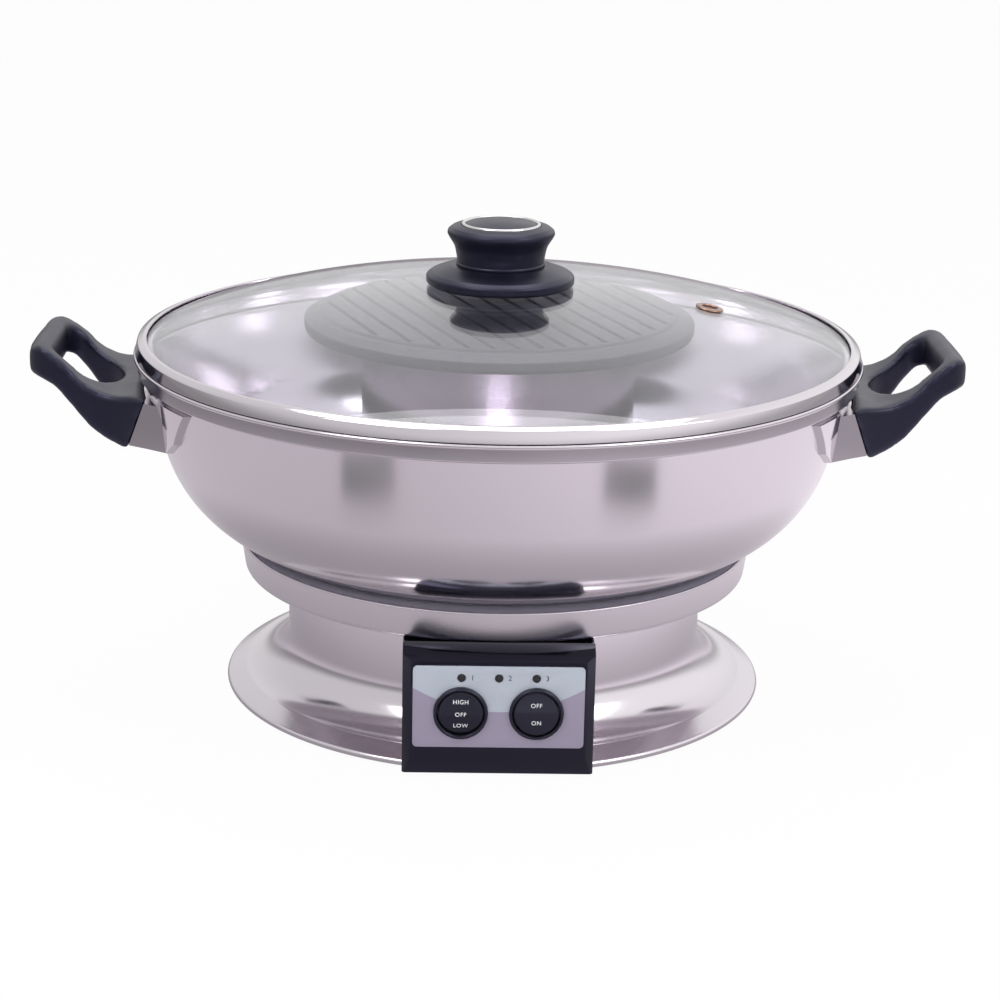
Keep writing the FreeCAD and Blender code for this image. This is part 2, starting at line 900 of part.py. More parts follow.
def knob_cap():
    cap = knob_ring_radius - knob_ring_width - hidden_gap
    rim = knob_ring_height - knob_ring_width / 5
    fall = cap_fall(cap / 2, cap, knob_top_height - rim)
    return turned(
        (0, knob_seat_height),
        [
            (cap, knob_seat_height),
            (cap, rim),
            (cap / 2, knob_top_height - fall, 0, knob_top_height),
        ],
    )


def knob_washer():
    bore = knob_screw_radius + hidden_gap
    seal = ring(bore, knob_seal_radius, glass_apex - 1, glass_apex + knob_seal_thickness)
    return seal.cut(glass_dome())


def knob_screw():
    under = glass_apex - glass_thickness
    plate_low = under - knob_screw_radius / 2
    head_height = knob_screw_radius
    shank = rod(knob_screw_radius, (0, 0, plate_low), (0, 0, knob_seat_height - 2))
    disc = ring(0, knob_screw_head * 1.6, plate_low, under)
    place = vector(0, 0, plate_low - head_height)
    head = Part.makeCone(knob_screw_head - 1, knob_screw_head, head_height, place)
    slot_low = (-knob_screw_head, -knob_screw_radius / 4, plate_low - head_height - 1)
    slot = block(slot_low, (knob_screw_head, knob_screw_radius / 4, plate_low - head_height / 2))
    return joined([shank, disc, head]).cut([slot, lid_glass()])


def mirrored(shape, side):
    """The +X piece, or its mirror image for the -X handle."""
    if side > 0:
        return shape
    return shape.mirror(origin, vector(1, 0, 0))


def handle_point(run, rise):
    """A point of the handle's side outline, from shares of its length and of its height over the root."""
    height = handle_rise if rise > 0 else handle_depth
    return handle_root + run * handle_length, handle_level + rise * height


def slant_x(z):
    """Where the handle's slanting root face is at a height."""
    return handle_root + (handle_level - z) * math.tan(math.radians(handle_slant))


def root_side(outboard):
    """Everything on one side of the handle's slanting root face."""
    high = handle_level + 2 * handle_rise
    low = handle_level - 2 * handle_depth
    far = handle_root + outboard * 2 * handle_length
    return side_solid((far, high), [(slant_x(high), high), (slant_x(low), low), (far, low)], cutter)


def handle_plan():
    """The handle seen from above, wide at its root and rounded at its tip."""
    root = handle_root_half
    neck = handle_neck_half
    end = handle_end_half
    waist = (root + neck) / 2 - 1.6
    near = handle_seam + 2
    start_x = handle_root + 0.009 * handle_length
    neck_x = handle_root + handle_neck_run
    waist_x = (handle_root + neck_x) / 2
    corner_x = handle_root + 0.735 * handle_length
    bend_x = handle_root + 0.908 * handle_length
    tip_x = handle_root + 0.954 * handle_length
    return plan_solid(
        (near, -root - 6),
        [
            (start_x, -root),
            (waist_x, -waist, neck_x, -neck),
            (corner_x, -end),
            (bend_x, -0.844 * end, tip_x, -0.517 * end),
            (handle_reach, 0, tip_x, 0.517 * end),
            (bend_x, 0.844 * end, corner_x, end),
            (neck_x, neck),
            (waist_x, waist, start_x, root),
            (near, root + 6),
        ],
        handle_level - 2 * handle_depth,
        handle_level + 2 * handle_rise,
    )


def handle_opening():
    """The hole for the fingers."""
    wide = handle_hole_half
    bar = handle_reach - handle_bar_width
    root = handle_root + handle_hole_run
    shoulder = root + wide / 3
    bend = wide * 0.26
    return plan_solid(
        (shoulder, -wide + bend),
        [
            (bar - bend, -wide),
            (bar - 0.23 * bend, -wide + 0.34 * bend, bar, -wide + 1.3 * bend),
            (bar, wide - 1.3 * bend),
            (bar - 0.23 * bend, wide - 0.34 * bend, bar - bend, wide),
            (shoulder, wide - bend),
            (root, 0, shoulder, -wide + bend),
        ],
        handle_level - 2 * handle_depth,
        handle_level + 2 * handle_rise,
    )


def handle_profile():
    """The handle seen from the front: a low root that rises to a rounded grip bar."""
    at = handle_point
    return side_solid(
        at(-0.009, 0),
        [
            at(0.106, -0.008) + at(0.221, -0.053),
            at(0.398, 0.026) + at(0.558, 0.319),
            at(0.699, 0.738) + at(0.814, 0.953),
            at(0.876, 1.0) + at(0.938, 0.874),
            at(0.989, 0.717) + at(1.0, 0.529),
            at(0.986, 0.372) + at(0.929, 0.278),
            at(0.832, 0.215) + at(0.735, 0.079),
            at(0.620, -0.239) + at(0.487, -0.605),
            at(0.345, -0.852) + at(0.186, -1.0),
            at(0.142, -0.992),
        ],
        cutter,
    )


def handle(side):
    pocket = []
    seat = handle_level - handle_screw_seat
    deep = handle_level - 2 * handle_depth
    x = handle_screw_x
    for place in (-tongue_place, tongue_place):
        pocket.append(tongue(place, hidden_gap))
        pocket.append(rod(handle_screw_radius + hidden_gap, (x, place, deep), (x, place, handle_level - 4)))
        pocket.append(rod(handle_screw_head + hidden_gap, (x, place, deep), (x, place, seat)))
    cuts = [handle_opening(), root_side(-1), bowl_filled(strap_thickness + slip_gap)]
    return mirrored(handle_plan().common(handle_profile()).cut(cuts + pocket), side)


def tongue(place, gap):
    half = tongue_half + gap
    low = (handle_seam, place - half, tongue_height - gap)
    reach = handle_root + tongue_run + gap
    return block(low, (reach, place + half, tongue_height + tongue_thickness + gap))


def ferrule_plan(shrink, low, high):
    root = handle_root_half - ferrule_wall * 0.8 - shrink
    neck = handle_neck_half - ferrule_wall * 0.8 - shrink
    front = handle_root + ferrule_front
    front_half = (root + neck) / 2 - 1.5
    start_x = handle_root + 0.009 * handle_length
    flare = ferrule_run * 0.75
    return plan_solid(
        (handle_seam - flare, -root - 1.5 * flare),
        [
            (handle_seam, -root - flare),
            (start_x, -root),
            (front, -front_half),
            (front, front_half),
            (start_x, root),
            (handle_seam, root + flare),
            (handle_seam - flare, root + 1.5 * flare),
        ],
        low,
        high,
    )


def handle_ferrule(side):
    outer = ferrule_plan(0, ferrule_low, ferrule_high)
    inner = ferrule_plan(ferrule_wall, ferrule_low + ferrule_wall, ferrule_high - ferrule_wall)
    inboard = block((0, -cutter, 0), (handle_seam, cutter, cutter))
    body = outer.cut([inner, root_side(1), inboard, bowl_filled(0.0)])
    return mirrored(body.cut(handle_strap()), side)


def handle_strap():
    """The sheet that hugs the bowl's wall inside the ferrule."""
    hug = bowl_filled(strap_thickness).cut(bowl_filled(0.0))
    inset = ferrule_wall + hidden_gap
    return hug.common(ferrule_plan(inset, ferrule_low + inset, ferrule_high - inset))


def handle_wings():
    """The bracket's two sides, which hug the bowl past the ferrule and rise to its step."""
    hug = bowl_filled(wing_thickness).cut(bowl_filled(0.0))
    inboard = block((0, -cutter, 0), (handle_seam, cutter, cutter))
    inner = wing_start - 2 * tongue_half
    top = bowl_step_height - wing_top_gap
    wings = []
    for way in (-1, 1):
        outline = front_solid(
            (way * inner, ferrule_low),
            [
                (way * wing_start, ferrule_low),
                (way * wing_foot, ferrule_low + wing_foot_rise),
                (way * wing_tip, top),
                (way * (wing_start + wing_foot_rise), top),
                (way * inner, ferrule_high),
            ],
            cutter,
        )
        wings.append(hug.common(outline).common(inboard))
    return wings


def handle_bracket(side):
    """A strap inside the ferrule, two wings along the bowl and two tongues into the handle."""
    tongues = []
    inner = bowl_filled(strap_thickness / 2)
    x = handle_screw_x
    high = tongue_height + 2 * tongue_thickness
    for place in (-tongue_place, tongue_place):
        hole = rod(handle_screw_radius, (x, place, tongue_height - 1), (x, place, high))
        tongues.append(tongue(place, 0).cut([inner, hole]))
    return mirrored(joined([handle_strap()] + handle_wings() + tongues), side)


def handle_screws(side):
    screws = []
    x = handle_screw_x
    seat = handle_level - handle_screw_seat
    low = seat - handle_screw_head_height
    half = screw_slot_half
    for place in (-tongue_place, tongue_place):
        top = tongue_height + tongue_thickness
        shank = rod(handle_screw_radius - hidden_gap, (x, place, seat - 1), (x, place, top))
        head = rod(handle_screw_head, (x, place, low), (x, place, seat))
        arm = handle_screw_head * 0.8
        slot = block((x - arm, place - half, low - 1), (x + arm, place + half, low + 1))
        screws.append(joined([shank, head]).cut(slot))
    return mirrored(group(screws), side)


def box_outer(inset):
    """The control box's outer form, shrunk on every side by a wall."""
    half = box_half_width - inset
    front = box_front - inset
    plan = plan_solid(
        (-half, -box_back),
        [
            (-half, -front + box_corner),
            (-half + box_corner, -front),
            (half - box_corner, -front),
            (half, -front + box_corner),
            (half, -box_back),
        ],
        0,
        collar_lip_height,
    )
    under_collar = deck_height - lift_off_gap - inset
    side = front_solid(
        (-front, box_face_low + inset / 2),
        [
            (-front, box_face_high - inset / 2),
            (-collar_lip_radius - 4 * lift_off_gap, box_top - inset),
            (-collar_foot_radius - 2 * lift_off_gap, box_top - inset),
            (-collar_foot_radius + 5 * lift_off_gap, under_collar),
            (-box_back, under_collar),
            (-box_back, box_low + inset),
            (-front + box_foot, box_low + inset),
        ],
        cutter,
    )
    return plan.common(side)


def panel_holes():
    """The holes through the front for the switches and lamps."""
    low = label_front - 1
    high = panel_back + 1
    holes = []
    for place in switch_places():
        holes.append(rod(switch_hole_radius, (place, low, switch_height), (place, high, switch_height)))
    for place in lamp_places():
        holes.append(rod(lamp_radius + hidden_gap, (place, low, lamp_height), (place, high, lamp_height)))
    return holes


def control_bezel():
    body = box_outer(0)
    shell = body.cut([box_outer(box_wall)] + panel_holes())
    ribs = []
    for way in (-1, 1):
        x = way * (box_half_width - box_wall - box_rib)
        rib = rod(box_rib, (x, panel_back - 1, switch_height), (x, -waist_radius, switch_height))
        ribs.append(rib.common(body))
    return joined([shell] + ribs).cut([base_filled(), collar_band()])


def switch_places():
    return [-switch_spacing / 2, switch_spacing / 2]


def lamp_places():
    return [-lamp_spacing, 0.0, lamp_spacing]


def control_label():
    half = label_half
    low = label_low
    high = label_high
    corner = label_corner
    bend = corner * (1 - math.sqrt(0.5))
    face = outline_face(
        (-half + corner, low),
        [
            (half - corner, low),
            (half - bend, low + bend, half, low + corner),
            (half, high - corner),
            (half - bend, high - bend, half - corner, high),
            (-half + corner, high),
            (-half + bend, high - bend, -half, high - corner),
            (-half, low + corner),
            (-half + bend, low + bend, -half + corner, low),
        ],
        lambda p: vector(p[0], -box_front, p[1]),
    )
    return face.extrude(vector(0, -label_thickness, 0)).cut(panel_holes())


def switch_body(place):
    """A round panel switch: flange, barrel with a round well, and three blade terminals."""
    z = switch_height
    back = label_front + switch_depth
    front = switch_front - 1
    barrel_radius = switch_barrel_radius
    flange = rod(switch_flange_radius, (place, switch_front, z), (place, label_front, z))
    barrel = rod(barrel_radius, (place, label_front, z), (place, back, z))
    dish = rod(switch_dish_radius, (place, front, z), (place, switch_front + switch_dish, z))
    well = rod(rocker_radius + rocker_gap, (place, front, z), (place, back - switch_floor, z))
    left = (place - barrel_radius, rocker_pivot, z)
    right = (place + barrel_radius, rocker_pivot, z)
    body = joined([flange, barrel]).cut([dish, well, rod(rocker_pin + pin_gap, left, right)])
    blades = []
    for way in (-1, 0, 1):
        middle = z + way * blade_spacing
        low = (place - blade_half_thickness, back, middle - blade_half_width)
        high = (place + blade_half_thickness, back + blade_length, middle + blade_half_width)
        blades.append(block(low, high))
    return joined([body] + blades)


def rocker(place, tilt):
    """A rocker cut from a ball on its pivot, so that it turns freely in its well."""
    z = switch_height
    pivot = vector(place, rocker_pivot, z)
    reach = rocker_radius + 1
    end = rocker_crown + reach * math.tan(math.radians(rocker_tilt))
    back = rocker_pivot + rocker_back
    wedge = front_solid(
        (rocker_crown, z),
        [(end, z + reach), (back, z + reach), (back, z - reach), (end, z - reach)],
        cutter,
    )
    half = switch_barrel_radius - 2 * hidden_gap
    axle = rod(rocker_pin, (place - half, rocker_pivot, z), (place + half, rocker_pivot, z))
    body = joined([Part.makeSphere(rocker_radius, pivot).common(wedge), axle])
    body.rotate(pivot, vector(1, 0, 0), tilt)
    return body


def lamp_lens(place):
    z = lamp_height
    tip = label_front - lamp_proud
    shoulder = tip + lamp_nose
    body = rod(lamp_radius, (place, shoulder, z), (place, panel_back, z))
    nose_place = vector(place, tip, z)
    nose = Part.makeCone(lamp_radius - lamp_nose, lamp_radius, lamp_nose, nose_place, vector(0, 1, 0))
    end = panel_back + lamp_flange_thickness
    flange = rod(lamp_radius + lamp_flange, (place, panel_back, z), (place, end, z))
    return joined([body, nose, flange])


def lamp_holders():
    front = panel_back + lamp_flange_thickness
    back = front + lamp_body_length
    bodies = []
    for place in lamp_places():
        bodies.append(rod(lamp_body_radius, (place, front, lamp_height), (place, back, lamp_height)))
    return group(bodies)


def soup_heater():
    return ring_heater(soup_heater_radius, soup_heater_height, heater_leg_foot)[0]


def grill_heater():
    return ring_heater(grill_heater_radius, grill_heater_height, heater_leg_foot)[0]


def clamp(radius, floor, height):
    """A small saddle clip that holds a heater tube on its floor."""
    top = height - heater_tube * 0.35
    outer = radius + clamp_half * 1.3
    stem = block((radius - clamp_half, -clamp_half_width, floor), (outer, clamp_half_width, top))
    return stem.cut(roll(radius, height, heater_tube))


def heater_clamps():
    floor = deck_top + reflector_sheet
    return group(round_about(clamp(soup_heater_radius, floor, soup_heater_height), clamp_count, 90))


def grill_clamps():
    floor = column_top + column_sheet
    return group(round_about(clamp(grill_heater_radius, floor, grill_heater_height), clamp_count, 90))


def leg_holes(radius, height):
    holes = []
    for foot in ring_heater(radius, height, heater_leg_foot)[1]:
        holes.append(Part.makeCylinder(heater_tube + heater_leg_clearance, cutter, foot))
    return holes


def heat_reflector():
    pan = ring(reflector_inner, reflector_outer, deck_top, deck_top + reflector_sheet)
    return pan.cut(leg_holes(soup_heater_radius, soup_heater_height) + [sensor_hole()])


def grill_column():
    bore = column_radius - column_sheet
    foot_top = deck_top + column_flange_thickness
    tube = ring(bore, column_radius, deck_top, column_top)
    flange = ring(bore, column_radius + column_flange, deck_top, foot_top)
    return joined([tube, flange])


def grill_reflector():
    dish = turned_sheet(
        (0, column_top),
        [(dish_radius - 2, column_top), (dish_radius, column_top + dish_rise)],
        column_sheet,
    )
    return dish.cut(leg_holes(grill_heater_radius, grill_heater_height))


def thermostat():
    """A sprung sensor that bears on the bowl's floor in the heater's front gap."""
    y = -sensor_place
    top = bowl_floor_height - lift_off_gap
    head = rod(sensor_radius, (0, y, top - sensor_height), (0, y, top))
    stem = rod(sensor_stem, (0, y, deck_top - sensor_stem_drop), (0, y, top - sensor_height))
    return joined([head, stem])


def thermostat_bracket():
    y = -sensor_place
    low = collar_floor_top - sensor_strap_drop
    top = collar_floor_top
    half = sensor_strap_half
    wide = sensor_strap_half_width
    sheet = sensor_strap
    strap = block((-half, y - wide, low), (half, y + wide, low + sheet))
    left = block((-half, y - wide, low), (-half + sheet, y + wide, top))
    right = block((half - sheet, y - wide, low), (half, y + wide, top))
    return joined([strap, left, right]).cut(sensor_hole())


def inlet_block(half_width, half_height, low, high):
    z = inlet_height
    return block((-half_width, low, z - half_height), (half_width, high, z + half_height))


def inlet_screws(radius):
    rods = []
    for way in (-1, 1):
        x = way * inlet_screw_place
        rods.append(rod(radius, (x, box_back, inlet_height), (x, inlet_face + 1, inlet_height)))
    return rods


def inlet_housing():
    """A standard three-pin appliance inlet on a saddle that fits the round waist."""
    flange_low = inlet_face - inlet_depth / 2
    flange = inlet_block(inlet_flange_half_width, inlet_flange_half_height, flange_low, inlet_face)
    flange = flange.cut(base_filled())
    body = inlet_block(inlet_half_width, inlet_half_height, inlet_face - inlet_depth, inlet_face)
    recess = inlet_block(
        inlet_recess_half_width,
        inlet_recess_half_height,
        inlet_face - inlet_recess_depth,
        inlet_face + 1,
    )
    holes = inlet_screws(screw_radius + hidden_gap)
    return joined([flange, body]).cut([recess] + inlet_pin_boxes() + holes)


def inlet_pin_boxes():
    floor = inlet_face - inlet_recess_depth
    wide = inlet_pin_half_width
    tall = inlet_pin_half_height
    boxes = []
    for way in (-1, 0, 1):
        x = way * inlet_pin_spacing
        z = inlet_height + inlet_pin_offset * (1 - 2 * abs(way))
        low = (x - wide, floor - inlet_pin_tail, z - tall)
        boxes.append(block(low, (x + wide, floor + inlet_pin_reach, z + tall)))
    return boxes


def inlet_pins():
    return group(inlet_pin_boxes())


def inlet_fixings():
    screws = []
    z = inlet_height
    front = inlet_face + screw_head_height
    arm = screw_head_radius * 0.9
    half = screw_slot_half
    for way in (-1, 1):
        x = way * inlet_screw_place
        head = rod(screw_head_radius, (x, inlet_face, z), (x, front, z))
        shank = rod(screw_radius, (x, inlet_face - inlet_screw_length, z), (x, inlet_face, z))
        slot = block((x - arm, front - screw_head_height / 2, z - half), (x + arm, front + 1, z + half))
        screws.append(joined([head, shank]).cut(slot))
    return group(screws)


def block_ways():
    """Where the connector strip's screws stand along its length."""
    first = -(block_way_count - 1) / 2 * block_way_pitch
    return [first + block_way_pitch * index for index in range(block_way_count)]


def terminal_block():
    """A ceramic connector strip that stands on the bottom cover."""
    low = (-block_length / 2, block_y - block_width / 2, cover_top)
    high = (block_length / 2, block_y + block_width / 2, cover_top + block_height)
    floor = cover_top + block_way_floor
    wells = []
    for x in block_ways():
        wells.append(rod(block_way_radius, (x, block_y, floor), (x, block_y, cover_top + block_height + 1)))
    return block(low, high).cut(wells)


def terminal_screws():
    screws = []
    floor = cover_top + block_way_floor
    top = floor + block_screw_height
    arm = block_screw_radius + 1
    half = screw_slot_half
    for x in block_ways():
        screw = rod(block_screw_radius, (x, block_y, floor), (x, block_y, top))
        slot = block((x - arm, block_y - half, top - 1), (x + arm, block_y + half, top + 1))
        screws.append(screw.cut(slot))
    return group(screws)


def lead_routes():
    """The insulated leads inside the base, from the inlet to the block, switches and heaters."""
    pin_end = inlet_face - inlet_recess_depth - inlet_pin_tail
    back = block_y + block_width / 2
    front = block_y - block_width / 2
    level = cover_top + lead_level
    switch_back = label_front + switch_depth + blade_length
    half = switch_spacing / 2
    soup_feet = ring_heater(soup_heater_radius, soup_heater_height, heater_leg_foot)[1]
    grill_feet = ring_heater(grill_heater_radius, grill_heater_height, heater_leg_foot)[1]
    turn = back + lead_turn
    near = -box_back
    routes = []
    for x in (-inlet_pin_spacing, inlet_pin_spacing):
        z = inlet_height - inlet_pin_offset
        routes.append([(x, pin_end, z), (x, turn, z), (x, turn, level), (x, back, level)])
    for x in (-half, half):
        z = switch_height
        routes.append([(x, front, level), (x, near, level), (x, near, z), (x, switch_back, z)])
    for foot, x in ((soup_feet[0], lead_level), (grill_feet[1], -lead_level)):
        down = (foot.x, foot.y, lead_rise)
        along = (x, foot.y + 2 * lead_turn, lead_rise)
        routes.append([tuple(foot), down, along, (x, front - lead_turn, level), (x, front, level)])
    for foot, x in ((soup_feet[1], -half), (grill_feet[0], half)):
        z = switch_height + blade_spacing
        down = (foot.x, foot.y, z - 6)
        routes.append([tuple(foot), down, (x, switch_back + lead_turn, z), (x, switch_back, z)])
    return routes


def internal_leads():
    return group([bent_tube(route, lead_radius, lead_bend) for route in lead_routes()])


def thermal_fuse():
    """A thermal fuse in its sleeve, held under the deck by a clip."""
    x = fuse_x
    top = collar_floor_top
    z = top - fuse_radius - fuse_clip
    body = rod(fuse_radius, (x, fuse_y, z), (x, fuse_y + fuse_length, z))
    start = fuse_y + fuse_clip_width
    low = (x - fuse_clip_half, start, z - fuse_radius - fuse_clip)
    clip = block(low, (x + fuse_clip_half, start + fuse_clip_width, top))
    return joined([clip, body])


def save(name, shape):
    shape.exportStep("parts/" + name + ".step")


def base_nodes():
    save("base_shell", base_shell())
    save("collar_band", collar_band())
    save("seat_ring", seat_ring())
    save("deck_plate", deck_plate())
    save("bottom_cover", bottom_cover())
    save("rubber_feet", rubber_feet())
    save("support_posts", support_posts())
    save("collar_screws", collar_screws())
    save("cover_screws", cover_screws())
    save("inlet_housing", inlet_housing())
    save("inlet_pins", inlet_pins())
    save("inlet_screws", inlet_fixings())


def control_nodes():
    left, right = switch_places()
    save("control_bezel", control_bezel())
    save("control_label", control_label())
    save("heat_switch_body", switch_body(left))
    save("grill_switch_body", switch_body(right))
    save("heat_rocker", rocker(left, 0))
    save("grill_rocker", rocker(right, -rocker_tilt))
    for name, place in zip(("left", "middle", "right"), lamp_places()):
        save("lamp_lens_" + name, lamp_lens(place))
    save("lamp_holders", lamp_holders())


def heating_nodes():
    save("soup_heater", soup_heater())
    save("soup_heater_clamps", heater_clamps())
    save("soup_heat_reflector", heat_reflector())
    save("grill_column", grill_column())
    save("grill_heater", grill_heater())
    save("grill_heater_clamps", grill_clamps())
    save("grill_heat_reflector", grill_reflector())
    save("thermostat", thermostat())
    save("thermostat_bracket", thermostat_bracket())
    save("thermal_fuse", thermal_fuse())
    save("terminal_block", terminal_block())
    save("terminal_screws", terminal_screws())
    save("internal_leads", internal_leads())


def pot_nodes():
    save("pot_bowl", pot_bowl())
    save("chimney_tube", chimney_tube())
    for name, side in (("left", -1), ("right", 1)):
        save("handle_" + name, handle(side))
        save("handle_ferrule_" + name, handle_ferrule(side))
        save("handle_bracket_" + name, handle_bracket(side))
        save("handle_screws_" + name, handle_screws(side))
    save("grill_plate", grill_plate())


def lid_nodes():
    save("lid_glass", lid_glass())
    save("lid_band", lid_band())
    save("vent_grommet", vent_grommet())
    save("knob_base", knob_base())
    save("knob_grip", knob_grip())
    save("knob_ring", knob_ring())
    save("knob_cap", knob_cap())
    save("knob_washer", knob_washer())
    save("knob_screw", knob_screw())


os.makedirs("parts", exist_ok=True)
base_nodes()
control_nodes()
heating_nodes()
pot_nodes()
lid_nodes()
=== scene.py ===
import math

import bmesh
import bpy
from bpy.props import FloatProperty, IntProperty, PointerProperty, StringProperty
from mathutils import Matrix, Vector


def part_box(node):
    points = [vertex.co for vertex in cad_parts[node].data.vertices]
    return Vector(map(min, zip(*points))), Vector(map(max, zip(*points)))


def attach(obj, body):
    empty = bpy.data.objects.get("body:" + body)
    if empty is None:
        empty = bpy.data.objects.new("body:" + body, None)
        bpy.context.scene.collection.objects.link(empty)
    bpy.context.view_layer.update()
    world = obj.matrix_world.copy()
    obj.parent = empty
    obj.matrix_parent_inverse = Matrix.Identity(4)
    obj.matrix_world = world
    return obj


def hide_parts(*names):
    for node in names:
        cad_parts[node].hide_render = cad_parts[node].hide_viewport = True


# An electric hot pot: a steel stand with a switch box, a steel bowl with a grill on its
# chimney, and a glass lid. Outlines are in millimetres, as (radius, height) about the pot's axis.

bl_info = {
    "name": "Electric hot pot",
    "version": (1, 0, 0),
    "blender": (4, 5, 0),
    "location": "3D View > Sidebar > Hot Pot",
    "description": "Builds and finishes the pieces of an electric hot pot with a grill and a glass lid",
    "category": "Object",
}

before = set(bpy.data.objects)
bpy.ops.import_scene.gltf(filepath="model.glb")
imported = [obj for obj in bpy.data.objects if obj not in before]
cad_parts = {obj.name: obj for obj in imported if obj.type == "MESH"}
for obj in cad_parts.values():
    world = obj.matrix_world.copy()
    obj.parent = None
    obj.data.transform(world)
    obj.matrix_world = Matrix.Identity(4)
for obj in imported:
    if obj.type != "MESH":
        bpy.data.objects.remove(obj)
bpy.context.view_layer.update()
MM = 0.001
GRILL_THICKNESS = 6.5
SMOOTH_ANGLE = 38.0
CORNER_STEP = math.radians(9)
ROCKER_TURNS = 96


def reach(node):
    """How far a CAD node reaches from the pot's axis along X, in millimetres."""
    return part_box(node)[1].x / MM


def foot(node):
    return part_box(node)[0].z / MM


def top(node):
    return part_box(node)[1].z / MM


def centre_of(node):
    """The middle of a CAD node's box, as x, y and z in millimetres."""
    low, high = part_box(node)
    return [(near + far) / 2 / MM for near, far in zip(low, high)]


def length(name, description, default):
    """A size in millimetres that a user may change."""
    return FloatProperty(name=name, description=description, default=default, min=0.0, precision=2)


def lean(name, description, degrees):
    """An angle that a user may change."""
    return FloatProperty(name=name, description=description, default=math.radians(degrees), subtype="ANGLE")


def paint(name, description, default):
    """An sRGB colour as a hex value."""
    return StringProperty(name=name, description=description, default=default, maxlen=7)


class HotPotSizes(bpy.types.PropertyGroup):
    segments: IntProperty(name="Segments", description="Facets round a turned piece", default=256, min=24)
    sheet: length("Stand sheet", "Thickness of the stand's steel", 0.8)
    bowl_sheet: length("Bowl sheet", "Thickness of the bowl's steel", 1.0)
    rim_roll: length("Rim roll", "Radius of the stand's rolled rim", 1.6)
    crease_height: length("Crease height", "Where the stand's skirt meets its cove", 8.5)
    cove_radius: length("Cove radius", "Radius of the stand's cove", 20.5)
    waist_radius: length("Waist radius", "Radius of the stand's waist", 95.7)
    lip_roll: length("Lip roll", "Radius of the collar's rolled lip", 0.7)
    collar_lean: length("Collar lean", "How far the collar's lip leans out over its foot", 2.0)
    collar_corner: length("Collar corner", "Bend at the collar's foot", 2.5)
    seat_radius: length("Seat bore", "Inner radius of the seat ring", 76.5)
    bowl_floor_radius: length("Bowl floor", "Radius of the bowl's flat floor", 92.0)
    bowl_corner: length("Bowl corner", "Radius between the bowl's floor and wall", 62.0)
    bowl_wall_rise: length("Bowl wall", "Height of the straight wall under the step", 17.5)
    bowl_wall_angle: lean("Wall angle", "Lean of the bowl's wall from upright", 15.8)
    bowl_step_out: length("Bowl step", "How far the top band stands out over the wall", 2.0)
    bead_roll: length("Bead roll", "Radius of the bowl's rolled bead", 1.0)
    chimney_radius: length("Chimney radius", "Outer radius of the chimney", 62.0)
    grill_face_inset: length("Grill face inset", "Width of the grill plate's bevelled rim", 7.5)
    groove_pitch: length("Groove pitch", "Distance between the grill's grooves", 10.0)
    groove_width: length("Groove width", "Width of a groove at the face", 2.0)
    groove_depth: length("Groove depth", "Depth of a groove", 1.8)
    groove_turn: lean("Groove turn", "Which way the grill's grooves run", -70.0)
    glass_thickness: length("Glass thickness", "Thickness of the lid's glass", 4.0)
    glass_crown_radius: length("Crown radius", "Radius of the flatter middle of the glass", 120.0)
    glass_crown_fall: length("Crown fall", "How far the glass falls over its middle", 12.7)
    switch_flange_radius: length("Switch flange", "Radius of a round switch's flange", 11.55)
    rocker_radius: length("Rocker radius", "Radius of a rocker", 9.6)
    rocker_tilt: lean("Rocker tilt", "Slope of each half of a rocker's face", 12.0)
    legend_height: length("Legend height", "Height of the letters on the rockers", 1.8)


class HotPotColours(bpy.types.PropertyGroup):
    steel: paint("Steel", "Polished stainless steel", "#D8D2D8")
    ledge: paint("Ledge", "Brushed ledge under the bowl", "#C6C3D2")
    zinc: paint("Zinc", "Zinc-coated sheet", "#A9A9A6")
    bakelite: paint("Bakelite", "Handles and knob", "#0E0E1A")
    cool_shine: paint("Cool shine", "Tint of the shine on black mouldings", "#D6D6FF")
    gloss_black: paint("Gloss black", "Switch box", "#07070D")
    satin_black: paint("Satin black", "Switch flanges and rockers", "#101015")
    grill: paint("Grill", "Non-stick coating", "#38373D")
    glass: paint("Glass", "Lid glass", "#FAFAFF")
    label_upper: paint("Label upper", "Upper field of the label", "#9EA3AF")
    label_lower: paint("Label lower", "Lower field of the label", "#857D90")
    eyelet: paint("Eyelet", "Steam vent", "#A08578")
    print_white: paint("White print", "Letters on the rockers", "#D9DCE0")
    print_black: paint("Black print", "Figures on the label", "#1B1B1F")
    lens: paint("Lamp lens", "Unlit lamp lenses", "#141316")
    heater: paint("Heater", "Oxidised heater sheath", "#4B4843")
    brass: paint("Brass", "Sensor and fuse", "#B08D4B")
    ceramic: paint("Ceramic", "Connector strip", "#DAD3C4")
    lead: paint("Leads", "Silicone lead insulation", "#A12A22")
    rubber: paint("Rubber", "Feet and seal", "#1A1A1A")


def sizes():
    return bpy.context.scene.hot_pot_sizes


def colours():
    return bpy.context.scene.hot_pot_colours


# Outlines


def rounded(*points, closed=True):
    """Corner points (x, y, radius), with each corner rounded off."""
    made = []
    count = len(points)
    for index, (x, y, radius) in enumerate(points):
        corner = Vector((x, y))
        at_end = not closed and index in (0, count - 1)
        if radius == 0 or at_end:
            made.append(corner)
            continue
        before = Vector(points[index - 1][:2]) - corner
        after = Vector(points[(index + 1) % count][:2]) - corner
        half = before.angle(after) / 2
        cut = min(radius / math.tan(half), before.length * 0.49, after.length * 0.49)
        inward = (before.normalized() + after.normalized()).normalized()
        centre = corner + inward * (cut / math.cos(half))
        first = corner + before.normalized() * cut - centre
        last = corner + after.normalized() * cut - centre
        sweep = first.angle(last)
        steps = max(2, math.ceil(sweep / CORNER_STEP))
        for step in range(steps + 1):
            share = step / steps
            arm = first * math.sin((1 - share) * sweep) + last * math.sin(share * sweep)
            made.append(centre + arm / math.sin(sweep))
    return made


